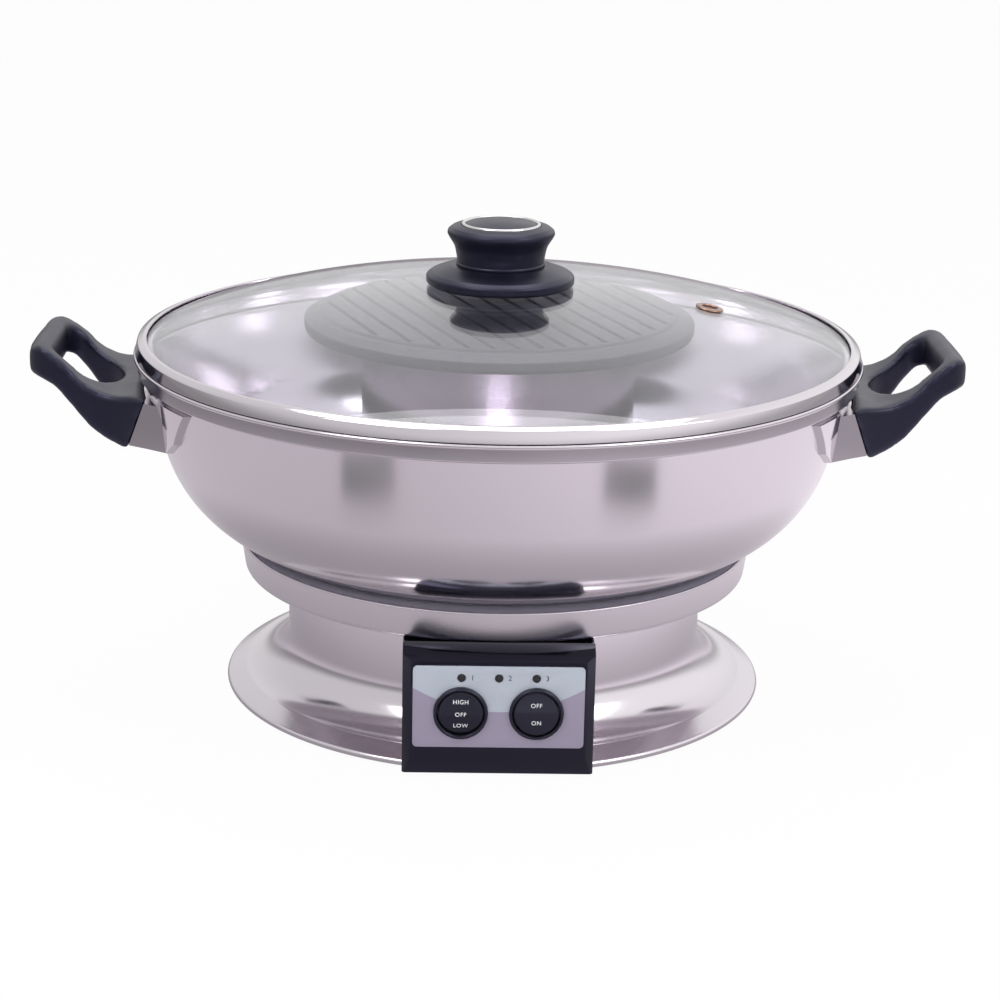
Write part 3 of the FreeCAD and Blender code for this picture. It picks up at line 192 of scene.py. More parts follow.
def arc(x, y, radius, start, end, steps):
    """Points on an arc from one angle to another, in degrees."""
    made = []
    for step in range(steps + 1):
        angle = math.radians(start + (end - start) * step / steps)
        made.append(Vector((x + radius * math.cos(angle), y + radius * math.sin(angle))))
    return made


def circle(x, y, radius):
    return arc(x, y, radius, 0, 345, 23)


def walled(line, thickness):
    """A closed outline of a sheet along a line, with its thickness to the line's left."""
    other = []
    for index, point in enumerate(line):
        before = line[max(index - 1, 0)]
        after = line[min(index + 1, len(line) - 1)]
        along_1 = (point - before).normalized() if index else (after - point).normalized()
        along_2 = (after - point).normalized() if index < len(line) - 1 else along_1
        side_1 = Vector((-along_1.y, along_1.x))
        side_2 = Vector((-along_2.y, along_2.x))
        middle = (side_1 + side_2).normalized()
        other.append(point + middle * (thickness / max(middle.dot(side_1), 0.5)))
    return list(line) + other[::-1]


# Meshes


def new_object(name, data):
    thing = bpy.data.objects.new(name, data)
    bpy.context.scene.collection.objects.link(thing)
    return thing


def new_piece(name, build, smooth_angle=SMOOTH_ANGLE):
    """A mesh object from a bmesh in millimetres, with smooth faces and sharp corners."""
    bmesh.ops.remove_doubles(build, verts=build.verts, dist=1e-4)
    bmesh.ops.dissolve_degenerate(build, edges=build.edges, dist=1e-5)
    bmesh.ops.recalc_face_normals(build, faces=build.faces)
    bmesh.ops.scale(build, vec=(MM, MM, MM), verts=build.verts)
    mesh = bpy.data.meshes.new(name)
    build.to_mesh(mesh)
    build.free()
    return mesh_piece(name, mesh, smooth_angle)


def mesh_piece(name, mesh, smooth_angle=SMOOTH_ANGLE):
    soften(mesh, smooth_angle)
    return new_object(name, mesh)


def soften(mesh, angle):
    mesh.polygons.foreach_set("use_smooth", [True] * len(mesh.polygons))
    mesh.set_sharp_from_angle(angle=math.radians(angle))
    mesh.update()


def turn_loop(build, outline, segments):
    """Adds one outline turned about Z. An outline that starts and ends on the axis stays open there."""
    rings = []
    for x, y in outline:
        ring = []
        for index in range(segments):
            angle = 2 * math.pi * index / segments
            ring.append(build.verts.new((x * math.cos(angle), x * math.sin(angle), y)))
        rings.append(ring)
    open_axis = abs(outline[0][0]) < 1e-6 and abs(outline[-1][0]) < 1e-6
    count = len(rings) - 1 if open_axis else len(rings)
    for index in range(count):
        here = rings[index]
        there = rings[(index + 1) % len(rings)]
        for side in range(segments):
            after = (side + 1) % segments
            build.faces.new((here[side], here[after], there[after], there[side]))


def turned(name, outlines, segments=None):
    """One piece from outlines turned about the pot's axis."""
    build = bmesh.new()
    for outline in outlines:
        turn_loop(build, outline, segments or sizes().segments)
    return new_piece(name, build)


def prism(build, outline, place):
    """Adds a closed outline drawn out between two places, given as functions of a 2-D point."""
    low = [build.verts.new(place(point, 0)) for point in outline]
    high = [build.verts.new(place(point, 1)) for point in outline]
    build.faces.new(low)
    build.faces.new(high[::-1])
    count = len(outline)
    for index in range(count):
        after = (index + 1) % count
        build.faces.new((low[index], low[after], high[after], high[index]))


def settle(piece):
    """Bakes a piece's modifiers into its mesh."""
    graph = bpy.context.evaluated_depsgraph_get()
    mesh = bpy.data.meshes.new_from_object(piece.evaluated_get(graph))
    piece.modifiers.clear()
    piece.data = mesh


def carved(piece, cutter):
    """Cuts one mesh out of another and drops the cutter."""
    cut = piece.modifiers.new("Cut", "BOOLEAN")
    cut.operation = "DIFFERENCE"
    cut.solver = "EXACT"
    cut.use_self = True
    cut.object = cutter
    settle(piece)
    soften(piece.data, SMOOTH_ANGLE)
    bpy.data.objects.remove(cutter)


def windowed(piece, *windows):
    """Cuts box-shaped windows, each from a low to a high corner in millimetres."""
    build = bmesh.new()
    for low, high in windows:
        low = Vector(low)
        high = Vector(high)
        place = Matrix.Translation((low + high) / 2) @ Matrix.Diagonal((*(high - low), 1.0))
        bmesh.ops.create_cube(build, size=1.0, matrix=place)
    carved(piece, new_piece("window_cutter", build))


def bevelled(piece, width, angle):
    """Rounds a piece's sharp edges by a width in millimetres."""
    bevel = piece.modifiers.new("Edge", "BEVEL")
    bevel.width = width * MM
    bevel.segments = 3
    bevel.limit_method = "ANGLE"
    bevel.angle_limit = math.radians(angle)


def dress(piece, material, body, slot, *nodes):
    """Gives a piece its finish and its body, and hides the CAD nodes that it stands for. Its slot is not
    used.
    """
    piece.data.materials.clear()
    piece.data.materials.append(material)
    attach(piece, body)
    if nodes:
        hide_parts(*nodes)


def finish_nodes(material, *names):
    """Gives CAD nodes that stay as they are their finish."""
    for name in names:
        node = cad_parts[name]
        node.data.materials.clear()
        node.data.materials.append(material)


# Materials


def linear(code):
    """An sRGB hex value as linear red, green, blue and alpha."""
    channels = []
    for start in (1, 3, 5):
        value = int(code[start:start + 2], 16) / 255
        channels.append(value / 12.92 if value <= 0.04045 else ((value + 0.055) / 1.055) ** 2.4)
    return (*channels, 1.0)


def add_node(tree, kind, settings=None, links=None):
    """Adds a shader node, sets its attributes and sockets, and links its inputs."""
    node = tree.nodes.new("ShaderNode" + kind)
    for name, value in (settings or {}).items():
        if isinstance(name, str) and hasattr(node, name):
            setattr(node, name, value)
        else:
            node.inputs[name].default_value = value
    for name, source in (links or {}).items():
        tree.links.new(source, node.inputs[name])
    return node


def finish(name):
    """An empty material, its tree and its output node."""
    material = bpy.data.materials.get(name)
    if material:
        return material, None, None
    material = bpy.data.materials.new(name)
    material.use_nodes = True
    tree = material.node_tree
    tree.nodes.clear()
    return material, tree, add_node(tree, "OutputMaterial")


def surface(tree, output, settings, links=None):
    shader = add_node(tree, "BsdfPrincipled", settings, links)
    tree.links.new(shader.outputs["BSDF"], output.inputs["Surface"])


def reckon(tree, operation, *terms):
    """The result of an operation on terms that are numbers or other nodes' outputs."""
    node = add_node(tree, "Math", {"operation": operation})
    for index, term in enumerate(terms):
        if isinstance(term, float):
            node.inputs[index].default_value = term
        else:
            tree.links.new(term, node.inputs[index])
    return node.outputs[0]


def position(tree, source="Object"):
    """A point's place, and the same place parted into X, Y and Z."""
    place = add_node(tree, "TexCoord").outputs[source]
    return place, add_node(tree, "SeparateXYZ", None, {"Vector": place}).outputs


def mixed(tree, share, first, second):
    """A mix of two shader nodes, by a number or another node's output."""
    node = add_node(tree, "MixShader", None, {1: first.outputs[0], 2: second.outputs[0]})
    if isinstance(share, float):
        node.inputs[0].default_value = share
    else:
        tree.links.new(share, node.inputs[0])
    return node


def glow(tree, colour, strength=None):
    """Light of one colour, with a strength of 1 or another node's output."""
    links = {"Strength": strength} if strength else None
    return add_node(tree, "Emission", {"Color": (*colour, 1.0), "Strength": 1.0}, links)


def grain(tree, spacing, detail=2.0, vector=None):
    """Noise whose grains are a spacing in millimetres apart, in the piece's own space."""
    place = vector or add_node(tree, "TexCoord").outputs["Object"]
    scale = 1.0 / (spacing * MM)
    settings = {"Scale": scale, "Detail": detail, "Roughness": 0.5}
    return add_node(tree, "TexNoise", settings, {"Vector": place}).outputs["Fac"]


def spread(tree, source, low, high):
    """Maps a 0 to 1 value onto a range."""
    settings = {"From Min": 0.3, "From Max": 0.7, "To Min": low, "To Max": high}
    return add_node(tree, "MapRange", settings, {"Value": source}).outputs["Result"]


def bump(tree, source, distance):
    """A bump whose height is a distance in millimetres."""
    settings = {"Distance": distance * MM, "Strength": 1.0}
    return add_node(tree, "Bump", settings, {"Height": source}).outputs["Normal"]


def spin_lines(tree, spacing):
    """Noise that runs round the pot's axis, as a polishing wheel leaves it."""
    parts = position(tree)[1]
    flat = add_node(tree, "CombineXYZ", None, {"X": parts["X"], "Y": parts["Y"]})
    radius = add_node(tree, "VectorMath", {"operation": "LENGTH"}, {0: flat.outputs["Vector"]})
    links = {"X": radius.outputs["Value"], "Y": parts["Z"]}
    section = add_node(tree, "CombineXYZ", None, links)
    return grain(tree, spacing, 3.0, section.outputs["Vector"])


def polished_steel(name="buffed_stainless_steel", low=0.06, high=0.10):
    """Stainless steel, spun and buffed: it mirrors its surroundings, softly drawn out upright."""
    material, tree, output = finish(name)
    if tree is None:
        return material
    lines = spin_lines(tree, 1.6)
    haze = grain(tree, 38.0, 1.0)
    gloss = spread(tree, haze, low, high)
    links = {"Roughness": gloss, "Normal": bump(tree, lines, 0.0012)}
    settings = {"Base Color": linear(colours().steel), "Metallic": 1.0, "Anisotropic": 0.3}
    surface(tree, output, settings, links)
    return material


def spun_steel():
    """The broad spun walls of bowl and stand: the same steel, hazier, so that their images blur."""
    return polished_steel("spun_stainless_steel", 0.13, 0.18)


def brushed_ledge():
    """The stand's inner ledge, brushed rather than buffed: dull blue-grey between two mirrors."""
    material, tree, output = finish("brushed_stainless_steel")
    if tree is None:
        return material
    lines = spin_lines(tree, 0.5)
    links = {"Roughness": spread(tree, lines, 0.32, 0.48), "Normal": bump(tree, lines, 0.01)}
    surface(tree, output, {"Base Color": linear(colours().ledge), "Metallic": 0.25}, links)
    return material


def skin(name, code, gloss, cloud, fine=None, settings=None):
    """A finish of one colour. Its roughness varies from low to high over a noise of some spacing
    and detail. A fine grain, also given by spacing and detail and by its depth, may roughen it."""
    material, tree, output = finish(name)
    if tree is None:
        return material
    links = {"Roughness": spread(tree, grain(tree, *cloud), *gloss)}
    if fine:
        spacing, detail, depth = fine
        links["Normal"] = bump(tree, grain(tree, spacing, detail), depth)
    surface(tree, output, {"Base Color": linear(code), **(settings or {})}, links)
    return material


def zinc_sheet():
    """Zinc-coated sheet: dull grey with faint spangle."""
    metal = {"Metallic": 1.0}
    return skin("zinc_coated_sheet", colours().zinc, (0.38, 0.55), (7.0, 1.0), (0.6, 2.0, 0.01), metal)


def plated_screw():
    """Nickel-plated screws and pins: bright with a slight satin."""
    return skin("nickel_plated_steel", "#BDBBB6", (0.22, 0.34), (1.2, 2.0), settings={"Metallic": 1.0})


def chrome():
    """Chrome plating: the brightest, sharpest mirror, on the knob's ring."""
    return skin("bright_chrome_plate", "#D9D7D8", (0.04, 0.08), (9.0, 2.0), settings={"Metallic": 1.0})


def black_moulding(name, code, gloss, cloud, fine=None, **settings):
    """A black moulding, whose shine has a cool tint."""
    settings["Specular Tint"] = linear(colours().cool_shine)
    return skin(name, code, gloss, cloud, fine, settings)


def bakelite():
    """Moulded bakelite: near-black with a blue cast and a fine satin grain."""
    shine = {"IOR": 1.6, "Specular IOR Level": 0.42}
    fine = (0.5, 2.0, 0.012)
    return black_moulding("moulded_bakelite", colours().bakelite, (0.30, 0.37), (16.0, 2.0), fine, **shine)


def gloss_abs():
    """Injection-moulded ABS with a polished face: deep black under a clear shine."""
    return black_moulding("gloss_moulded_abs", colours().gloss_black, (0.05, 0.10), (22.0, 2.0), IOR=1.53)


def satin_abs():
    """Satin-moulded ABS: the switches' fine spark-eroded skin breaks the shine."""
    code = colours().satin_black
    return black_moulding("satin_moulded_abs", code, (0.26, 0.36), (5.0, 2.0), (0.35, 2.0, 0.01), IOR=1.53)


def cast_grill():
    """Cast aluminium under a sprayed non-stick coat: dark grey, softly sparkling."""
    shine = {"IOR": 1.5, "Specular IOR Level": 0.55}
    speck = (0.9, 3.0)
    return skin("nonstick_coated_casting", colours().grill, (0.42, 0.58), speck, (*speck, 0.05), shine)


def lid_glass():
    """Pressed tempered glass: clear, with a green-white cast; shadow rays pass so that the bowl is lit."""
    material, tree, output = finish("tempered_clear_glass")
    if tree is None:
        return material
    settings = {"Base Color": linear(colours().glass), "Roughness": 0.0}
    settings.update({"IOR": 1.5, "Transmission Weight": 1.0})
    wave = bump(tree, grain(tree, 60.0, 1.0), 0.02)
    glass = add_node(tree, "BsdfPrincipled", settings, {"Normal": wave})
    clear = add_node(tree, "BsdfTransparent", {"Color": linear("#F5F6F8")})
    rays = add_node(tree, "LightPath").outputs
    either = reckon(tree, "MAXIMUM", rays["Is Shadow Ray"], rays["Is Diffuse Ray"])
    through = mixed(tree, either, glass, clear)
    tree.links.new(through.outputs["Shader"], output.inputs["Surface"])
    return material


def label_film():
    """Printed polyester film: two flat fields of grey that meet in a shallow curve, under a satin coat."""
    material, tree, output = finish("printed_polyester_film")
    if tree is None:
        return material
    low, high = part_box("control_label")
    rise = (high.z - low.z) * 0.44
    parts = position(tree)[1]
    square = reckon(tree, "POWER", reckon(tree, "DIVIDE", parts["X"], high.x), 2.0)
    line = reckon(tree, "MULTIPLY_ADD", square, rise * 0.66, low.z + rise)
    above = reckon(tree, "GREATER_THAN", parts["Z"], line)
    settings = {"data_type": "RGBA", 6: linear(colours().label_lower), 7: linear(colours().label_upper)}
    fields = add_node(tree, "Mix", settings, {0: above})
    links = {"Base Color": fields.outputs[2], "Roughness": spread(tree, grain(tree, 3.0), 0.36, 0.44)}
    surface(tree, output, {"IOR": 1.5}, links)
    return material


def plain(name, code, low, high, spacing=2.0, depth=0.01, metallic=0.0):
    """A finish of one colour whose roughness and whose fine grain follow the same noise."""
    return skin(name, code, (low, high), (spacing, 2.0), (spacing, 2.0, depth), {"Metallic": metallic})


# Pieces


def base_outline():
    """The stand's outer side, from its rolled rim up over the cove and waist to the deck."""
    size = sizes()
    rim = reach("base_shell") - size.rim_roll
    rim_height = foot("base_shell") + 2 * size.rim_roll
    crease = size.waist_radius + size.cove_radius
    deck = top("base_shell")
    line = [Vector((rim, rim_height))]
    line += arc(crease, size.crease_height + size.cove_radius, size.cove_radius, 270, 180, 24)
    line += rounded(
        (size.waist_radius, size.crease_height + size.cove_radius, 0), (size.waist_radius, deck, 1.2),
        (size.seat_radius + 4, deck, 0), closed=False,
    )[1:]
    return line


class HOTPOT_OT_stand(bpy.types.Operator):
    """Builds the stand: its spun shell, collar and seat ring"""

    bl_idname = "hot_pot.stand"
    bl_label = "Stand"

    def execute(self, context):
        size = sizes()
        steel = spun_steel()
        roll = size.rim_roll
        rim = circle(reach("base_shell") - roll, foot("base_shell") + roll, roll)
        shell = turned("spun_stand_shell", [walled(base_outline(), size.sheet), rim])
        middle = centre_of("inlet_housing")[2]
        across = 14.5
        up = 10.5
        inlet = ((-across, 80.0, middle - up), (across, 110.0, middle + up))
        low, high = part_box("control_label")
        switches = ((low.x / MM, -125.0, low.z / MM), (high.x / MM, -70.0, high.z / MM))
        windowed(shell, inlet, switches)
        dress(shell, steel, "base", "polished_steel", "base_shell")
        lip_radius = reach("collar_band")
        lip_height = top("collar_band") - size.lip_roll
        deck = foot("collar_band")
        line = rounded(
            (size.seat_radius + 6, deck, 0), (lip_radius - size.collar_lean, deck, size.collar_corner),
            (lip_radius, lip_height, 0), closed=False,
        )
        lip = circle(lip_radius - size.lip_roll, lip_height, size.lip_roll)
        collar = turned("stand_collar", [walled(line, size.sheet), lip])
        soft_steel = polished_steel("satin_spun_steel", 0.24, 0.30)
        dress(collar, soft_steel, "base", "polished_steel", "collar_band")
        line = rounded(
            (size.seat_radius, foot("seat_ring"), 0), (size.seat_radius, top("seat_ring"), 1.5),
            (reach("seat_ring"), top("seat_ring"), 0), closed=False,
        )
        seat = turned("bowl_seat_ring", [walled(line, -size.sheet)])
        dress(seat, brushed_ledge(), "base", "polished_steel", "seat_ring")
        return {"FINISHED"}


def bowl_outline():
    """The bowl's outer side, from the chimney's foot up to the band under its bead."""
    size = sizes()
    floor = foot("pot_bowl")
    centre_height = floor + size.bowl_corner
    angle = size.bowl_wall_angle
    lean = math.degrees(angle)
    side = size.bowl_corner / math.cos(angle) + size.bowl_wall_rise * math.tan(angle)
    step_radius = size.bowl_floor_radius + side
    step_height = centre_height + size.bowl_wall_rise
    line = [Vector((size.chimney_radius, floor))]
    line += arc(size.bowl_floor_radius, centre_height, size.bowl_corner, 270, 360 - lean, 48)
    line += rounded(
        (line[-1].x, line[-1].y, 0), (step_radius, step_height, 0.5),
        (step_radius + size.bowl_step_out, step_height + 0.7, 0.5),
        (step_radius + size.bowl_step_out, top("pot_bowl") - size.bead_roll, 0), closed=False,
    )[1:]
    return line


class HOTPOT_OT_bowl(bpy.types.Operator):
    """Builds the bowl with its bead, and the chimney that carries the grill"""

    bl_idname = "hot_pot.bowl"
    bl_label = "Bowl"

    def execute(self, context):
        size = sizes()
        steel = spun_steel()
        roll = size.bead_roll
        bead = circle(reach("pot_bowl") - roll, top("pot_bowl") - roll, roll)
        bowl = turned("soup_bowl", [walled(bowl_outline(), size.bowl_sheet), bead], size.segments + 64)
        dress(bowl, steel, "pot", "polished_steel", "pot_bowl")
        outer = size.chimney_radius
        rim = reach("chimney_tube")
        high = top("chimney_tube")
        line = rounded(
            (outer, foot("chimney_tube"), 0), (outer, high - size.bowl_sheet, 0.6),
            (rim, high - size.bowl_sheet, 0.3), (rim, high, 0.3), (outer - size.bowl_sheet, high, 0.6),
            (outer - size.bowl_sheet, foot("chimney_tube"), 0),
        )
        dress(turned("bowl_chimney", [line]), steel, "pot", "polished_steel", "chimney_tube")
        return {"FINISHED"}


def grill_outline():
    """The grill plate's section: a flat face, a bevelled rim and a short skirt."""
    outer = reach("grill_plate")
    high = top("grill_plate")
    face = outer - sizes().grill_face_inset
    under = high - GRILL_THICKNESS
    return rounded(
        (0, under, 0), (outer - 4, under, 0.6), (outer - 4, under - 2, 0.3),
        (outer - 0.6, under - 2, 0.5), (outer, under - 0.6, 0.6), (outer, under + 2.8, 0.8),
        (face + 2, high - 1.2, 0.8), (face + 0.4, high - 1.2, 0.5), (face - 0.6, high, 0.5), (0, high, 0),
        closed=False,
    )


def groove_section():
    """A groove across its run, with a round floor and eased edges."""
    size = sizes()
    half = size.groove_width / 2
    ease = 0.25
    return rounded(
        (-half - ease - 0.4, 0.6, 0), (-half - ease, 0.0, 0.3), (-half + 0.1, -ease, 0.4),
        (-half + 0.35, -size.groove_depth, 0.5), (half - 0.35, -size.groove_depth, 0.5),
        (half - 0.1, -ease, 0.4), (half + ease, 0.0, 0.3), (half + ease + 0.4, 0.6, 0),
    )


class HOTPOT_OT_grill(bpy.types.Operator):
    """Builds the grooved grill plate"""

    bl_idname = "hot_pot.grill"
    bl_label = "Grill plate"

    def execute(self, context):
        size = sizes()
        under = top("grill_plate") - GRILL_THICKNESS
        bore = size.chimney_radius - 1.5
        spigot = rounded(
            (bore - 2.4, under + 0.5, 0), (bore - 2.4, foot("grill_plate"), 0.5),
            (bore, foot("grill_plate"), 0.5), (bore, under + 0.5, 0),
        )
        plate = turned("grooved_grill_plate", [grill_outline(), spigot])
        build = bmesh.new()
        span = reach("grill_plate") - size.grill_face_inset - 2.5
        count = int(span / size.groove_pitch)
        section = groove_section()
        high = top("grill_plate")
        for index in range(-count, count + 1):
            middle = index * size.groove_pitch
            half = math.sqrt(span ** 2 - middle ** 2)
            prism(build, section, lambda p, end: ((2 * end - 1) * half, middle + p.x, high + p.y))
        turn = Matrix.Rotation(size.groove_turn, 3, "Z")
        bmesh.ops.rotate(build, cent=(0, 0, 0), matrix=turn, verts=build.verts)
        carved(plate, new_piece("groove_cutter", build))
        dress(plate, cast_grill(), "grill", "cast_nonstick", "grill_plate")
        return {"FINISHED"}


def dome_height(radius):
    """The height of the glass dome's outer side, an even curve through its crown and its edge."""
    size = sizes()
    edge = reach("lid_glass")
    apex = top("lid_glass")
    edge_fall = apex - foot("lid_glass") - size.glass_thickness
    crown = size.glass_crown_radius
    flat = size.glass_crown_fall / crown ** 2
    steep = edge_fall / edge ** 2
    quartic = (steep - flat) / (edge ** 2 - crown ** 2)
    square = flat - quartic * crown ** 2
    return apex - square * radius ** 2 - quartic * radius ** 4


def glass_outline():
    """The dome's section, with a ground and rounded edge."""
    size = sizes()
    edge = reach("lid_glass")
    steps = 72
    over = [Vector((edge * step / steps, dome_height(edge * step / steps))) for step in range(steps)]
    under = [point - Vector((0, size.glass_thickness)) for point in over]
    high = dome_height(edge)
    rim = rounded(
        (over[-1].x, over[-1].y, 0), (edge, high, 0.8), (edge, high - size.glass_thickness, 0.8),
        (under[-1].x, under[-1].y, 0), closed=False,
    )
    return over + rim[1:-1] + under[::-1]


def band_outline():
    """The rolled steel band that grips the glass and sits on the bowl's bead."""
    outer = reach("lid_band")
    low = foot("lid_band") + 3.4
    high = low + 5.5
    inner = outer - 1.2
    return rounded(
        (outer, low, 0.3), (inner, high - 0.4, 1.2), (inner - 2.6, high + 0.75, 1.0),
        (inner - 4.2, high + 0.85, 0.25), (inner - 4.2, high - 0.05, 0.2),
        (inner - 2.2, high - 0.55, 0.5), (inner - 1.1, high - 1.4, 0.4), (outer - 1.3, low + 0.8, 0.3),
        (outer - 9.0, low + 0.8, 0.2), (outer - 9.0, low, 0.2),
    )


def vent_matrix():
    """Where the vent sits: square to the glass at its place on the dome."""
    x, y = centre_of("vent_grommet")[:2]
    radius = math.hypot(x, y)
    tilt = math.atan(dome_height(radius - 0.5) - dome_height(radius + 0.5))
    turn = Matrix.Rotation(math.atan2(y, x), 4, "Z") @ Matrix.Rotation(tilt, 4, "Y")
    return Matrix.Translation((x * MM, y * MM, dome_height(radius) * MM)) @ turn


class HOTPOT_OT_lid(bpy.types.Operator):
    """Builds the lid's glass, its steel band and its steam vent"""

    bl_idname = "hot_pot.lid"
    bl_label = "Lid"

    def execute(self, context):
        size = sizes()
        glass = turned("lid_glass_dome", [glass_outline()], size.segments + 64)
        dress(glass, lid_glass(), "lid", "lid_glass", "lid_glass")
        outer = reach("lid_band") - 3.4
        low = foot("lid_band")
        skirt = rounded(
            (outer, low, 0.2), (outer, low + 3.6, 0), (outer - 0.8, low + 3.6, 0),
            (outer - 0.8, low, 0.2),
        )
        band = turned("lid_steel_band", [band_outline(), skirt], size.segments + 64)
        dress(band, polished_steel(), "lid", "polished_steel", "lid_band")
        bore = 3.5
        flange = 6.5
        thickness = size.glass_thickness
        eyelet = rounded(
            (bore, 0.9, 0.6), (bore, -thickness - 0.9, 0.4), (flange - 1, -thickness - 0.9, 0.3),
            (flange - 1, -thickness - 0.1, 0.2), (bore + 0.7, -thickness - 0.1, 0.1),
            (bore + 0.7, 0.0, 0.1), (flange, 0.0, 0.3), (flange - 0.2, 0.7, 0.6), (bore + 1.2, 1.0, 0.6),
        )
        vent = turned("steam_vent_eyelet", [eyelet], 64)
        vent.data.transform(vent_matrix())
        copper = plain("copper_nickel_plate", colours().eyelet, 0.14, 0.24, 2.0, 0.004, 1.0)
        dress(vent, copper, "lid", "bright_chrome", "vent_grommet")
        finish_nodes(plain("silicone_seal", colours().rubber, 0.5, 0.6), "knob_washer")
        finish_nodes(plated_screw(), "knob_screw")
        return {"FINISHED"}


class HOTPOT_OT_knob(bpy.types.Operator):
    """Builds the lid's knob: its disc, grip, chrome ring and cap"""

    bl_idname = "hot_pot.knob"
    bl_label = "Knob"

    def execute(self, context):
        black = bakelite()
        bore = 2.5
        outer = reach("knob_base")
        low = foot("knob_base")
        high = top("knob_base")
        disc = rounded(
            (bore, low, 0), (14, low, 0.5), (outer - 1.8, low - 0.7, 0.5), (outer, low + 0.3, 0.9),
            (outer, low + 3.4, 1.4), (outer - 2.4, low + 5.0, 2.0), (22.5, high, 1.6), (bore, high, 0),
        )
        dress(turned("knob_disc", [disc]), black, "lid", "bakelite", "knob_base")
        flare = reach("knob_grip")
        foot_height = foot("knob_grip")
        rim = top("knob_grip")
        ring_radius = reach("knob_ring")
        ring_top = top("knob_ring")
        seat = foot("knob_ring")
        waist = (
            (20.0, 0.0, 0.3), (20.0, 0.9, 0.3), (19.6, 1.4, 0.4), (20.0, 4.5, 8.0), (20.9, 8.8, 9.0),
            (flare - 0.9, 12.6, 2.0), (flare, 14.3, 1.2), (flare - 0.3, 15.8, 1.2),
        )
        waist = [(radius, foot_height + up, bend) for radius, up, bend in waist]
        waist += [(flare - 2.2, rim - 1.2, 1.6), (ring_radius + 0.15, rim, 0.4)]
        grip_line = [(bore, foot_height, 0)] + waist + [(ring_radius + 0.15, seat, 0), (bore, seat, 0)]
        dress(turned("knob_grip_body", [rounded(*grip_line)]), black, "lid", "bakelite", "knob_grip")
        inner = ring_radius - 2.0
        ring_line = rounded(
            (ring_radius, seat, 0), (ring_radius, ring_top, 0.8), (inner, ring_top, 0.9),
            (inner, seat, 0),
        )
        dress(turned("knob_chrome_ring", [ring_line]), chrome(), "lid", "bright_chrome", "knob_ring")
        cap = reach("knob_cap")
        crown = top("knob_cap")
        rise = crown - ring_top + 0.4
        steps = 16
        dome = [Vector((cap * step / steps, crown - rise * (step / steps) ** 2)) for step in range(steps)]
        edge = rounded((dome[-1].x, dome[-1].y, 0), (cap, crown - rise, 0.4), (cap, seat, 0), closed=False)
        plate = turned("knob_top_cap", [dome + edge[1:] + [Vector((0, seat))]])
        dress(plate, black, "lid", "bakelite", "knob_cap")
        return {"FINISHED"}


def moulded_from(name, node):
    """A soft-edged moulding over a CAD node's form."""
    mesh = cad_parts[node].data.copy()
    mesh.name = name
    piece = mesh_piece(name, mesh)
    remesh = piece.modifiers.new("Skin", "REMESH")
    remesh.mode = "VOXEL"
    remesh.voxel_size = 0.9 * MM
    smooth = piece.modifiers.new("Ease", "SMOOTH")
    smooth.factor = 0.5
    smooth.iterations = 34
    settle(piece)
    soften(piece.data, 180.0)
    return piece


def moulded_box(name, node, width):
    """A CAD node's own form with its sharp edges rounded by a width in millimetres."""
    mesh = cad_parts[node].data.copy()
    mesh.name = name
    build = bmesh.new()
    build.from_mesh(mesh)
    bmesh.ops.remove_doubles(build, verts=build.verts, dist=1e-6)
    flat = math.radians(1.0)
    bmesh.ops.dissolve_limit(build, angle_limit=flat, verts=build.verts, edges=build.edges)
    build.to_mesh(mesh)
    build.free()
    piece = mesh_piece(name, mesh, 30.0)
    bevelled(piece, width, 25.0)
    settle(piece)
    soften(piece.data, 35.0)
    return piece


class HOTPOT_OT_handles(bpy.types.Operator):
    """Builds the two loop handles with their steel ferrules and brackets"""

    bl_idname = "hot_pot.handles"
    bl_label = "Handles"

    def execute(self, context):
        steel = polished_steel()
        for side in ("left", "right"):
            loop = moulded_from("loop_handle_" + side, "handle_" + side)
            dress(loop, bakelite(), "pot", "bakelite", "handle_" + side)
            finish_nodes(steel, "handle_ferrule_" + side, "handle_bracket_" + side)
            finish_nodes(plated_screw(), "handle_screws_" + side)
        return {"FINISHED"}


class HOTPOT_OT_control_box(bpy.types.Operator):
    """Builds the switch box and its printed label"""

    bl_idname = "hot_pot.control_box"
    bl_label = "Switch box"

    def execute(self, context):
        box = moulded_box("switch_box_bezel", "control_bezel", 0.7)
        dress(box, gloss_abs(), "base", "black_abs", "control_bezel")
        film = moulded_box("printed_label", "control_label", 0.12)
        dress(film, label_film(), "base", "label_sheet", "control_label")
        return {"FINISHED"}


def facing_front(piece, x, y, z):
    """Turns a piece made about Z to face -Y, at a place in millimetres."""
    piece.data.transform(Matrix.Translation((x * MM, y * MM, z * MM)) @ Matrix.Rotation(math.pi / 2, 4, "X"))


def switch_piece(name, node, x, z):
    """A round switch: its flange with a chamfered lip, and the dish and well inside it."""
    size = sizes()
    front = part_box(node)[0].y / MM
    flange = size.switch_flange_radius
    well = size.rocker_radius + 0.35
    outline = rounded(
        (flange, 0, 0), (flange, 1.5, 0.5), (flange - 0.7, 2.0, 0.4), (well + 0.5, 2.0, 0.25),
        (well, 1.3, 0.2), (well, -14.0, 0.3), (well + 0.55, -14.0, 0), (well + 0.55, 0, 0),
    )
    piece = turned(name, [outline], 128)
    facing_front(piece, x, front + 2.0, z)
    return piece


def rocker_face(across, up):
    """How far behind the crown a point of the rocker's face lies."""
    size = sizes()
    soft = 1.1
    fall = (math.sqrt(up ** 2 + soft ** 2) - soft) * math.tan(size.rocker_tilt)
    edge = max(0.0, math.hypot(across, up) - size.rocker_radius + 0.7)
    return fall + edge ** 2 * 0.9


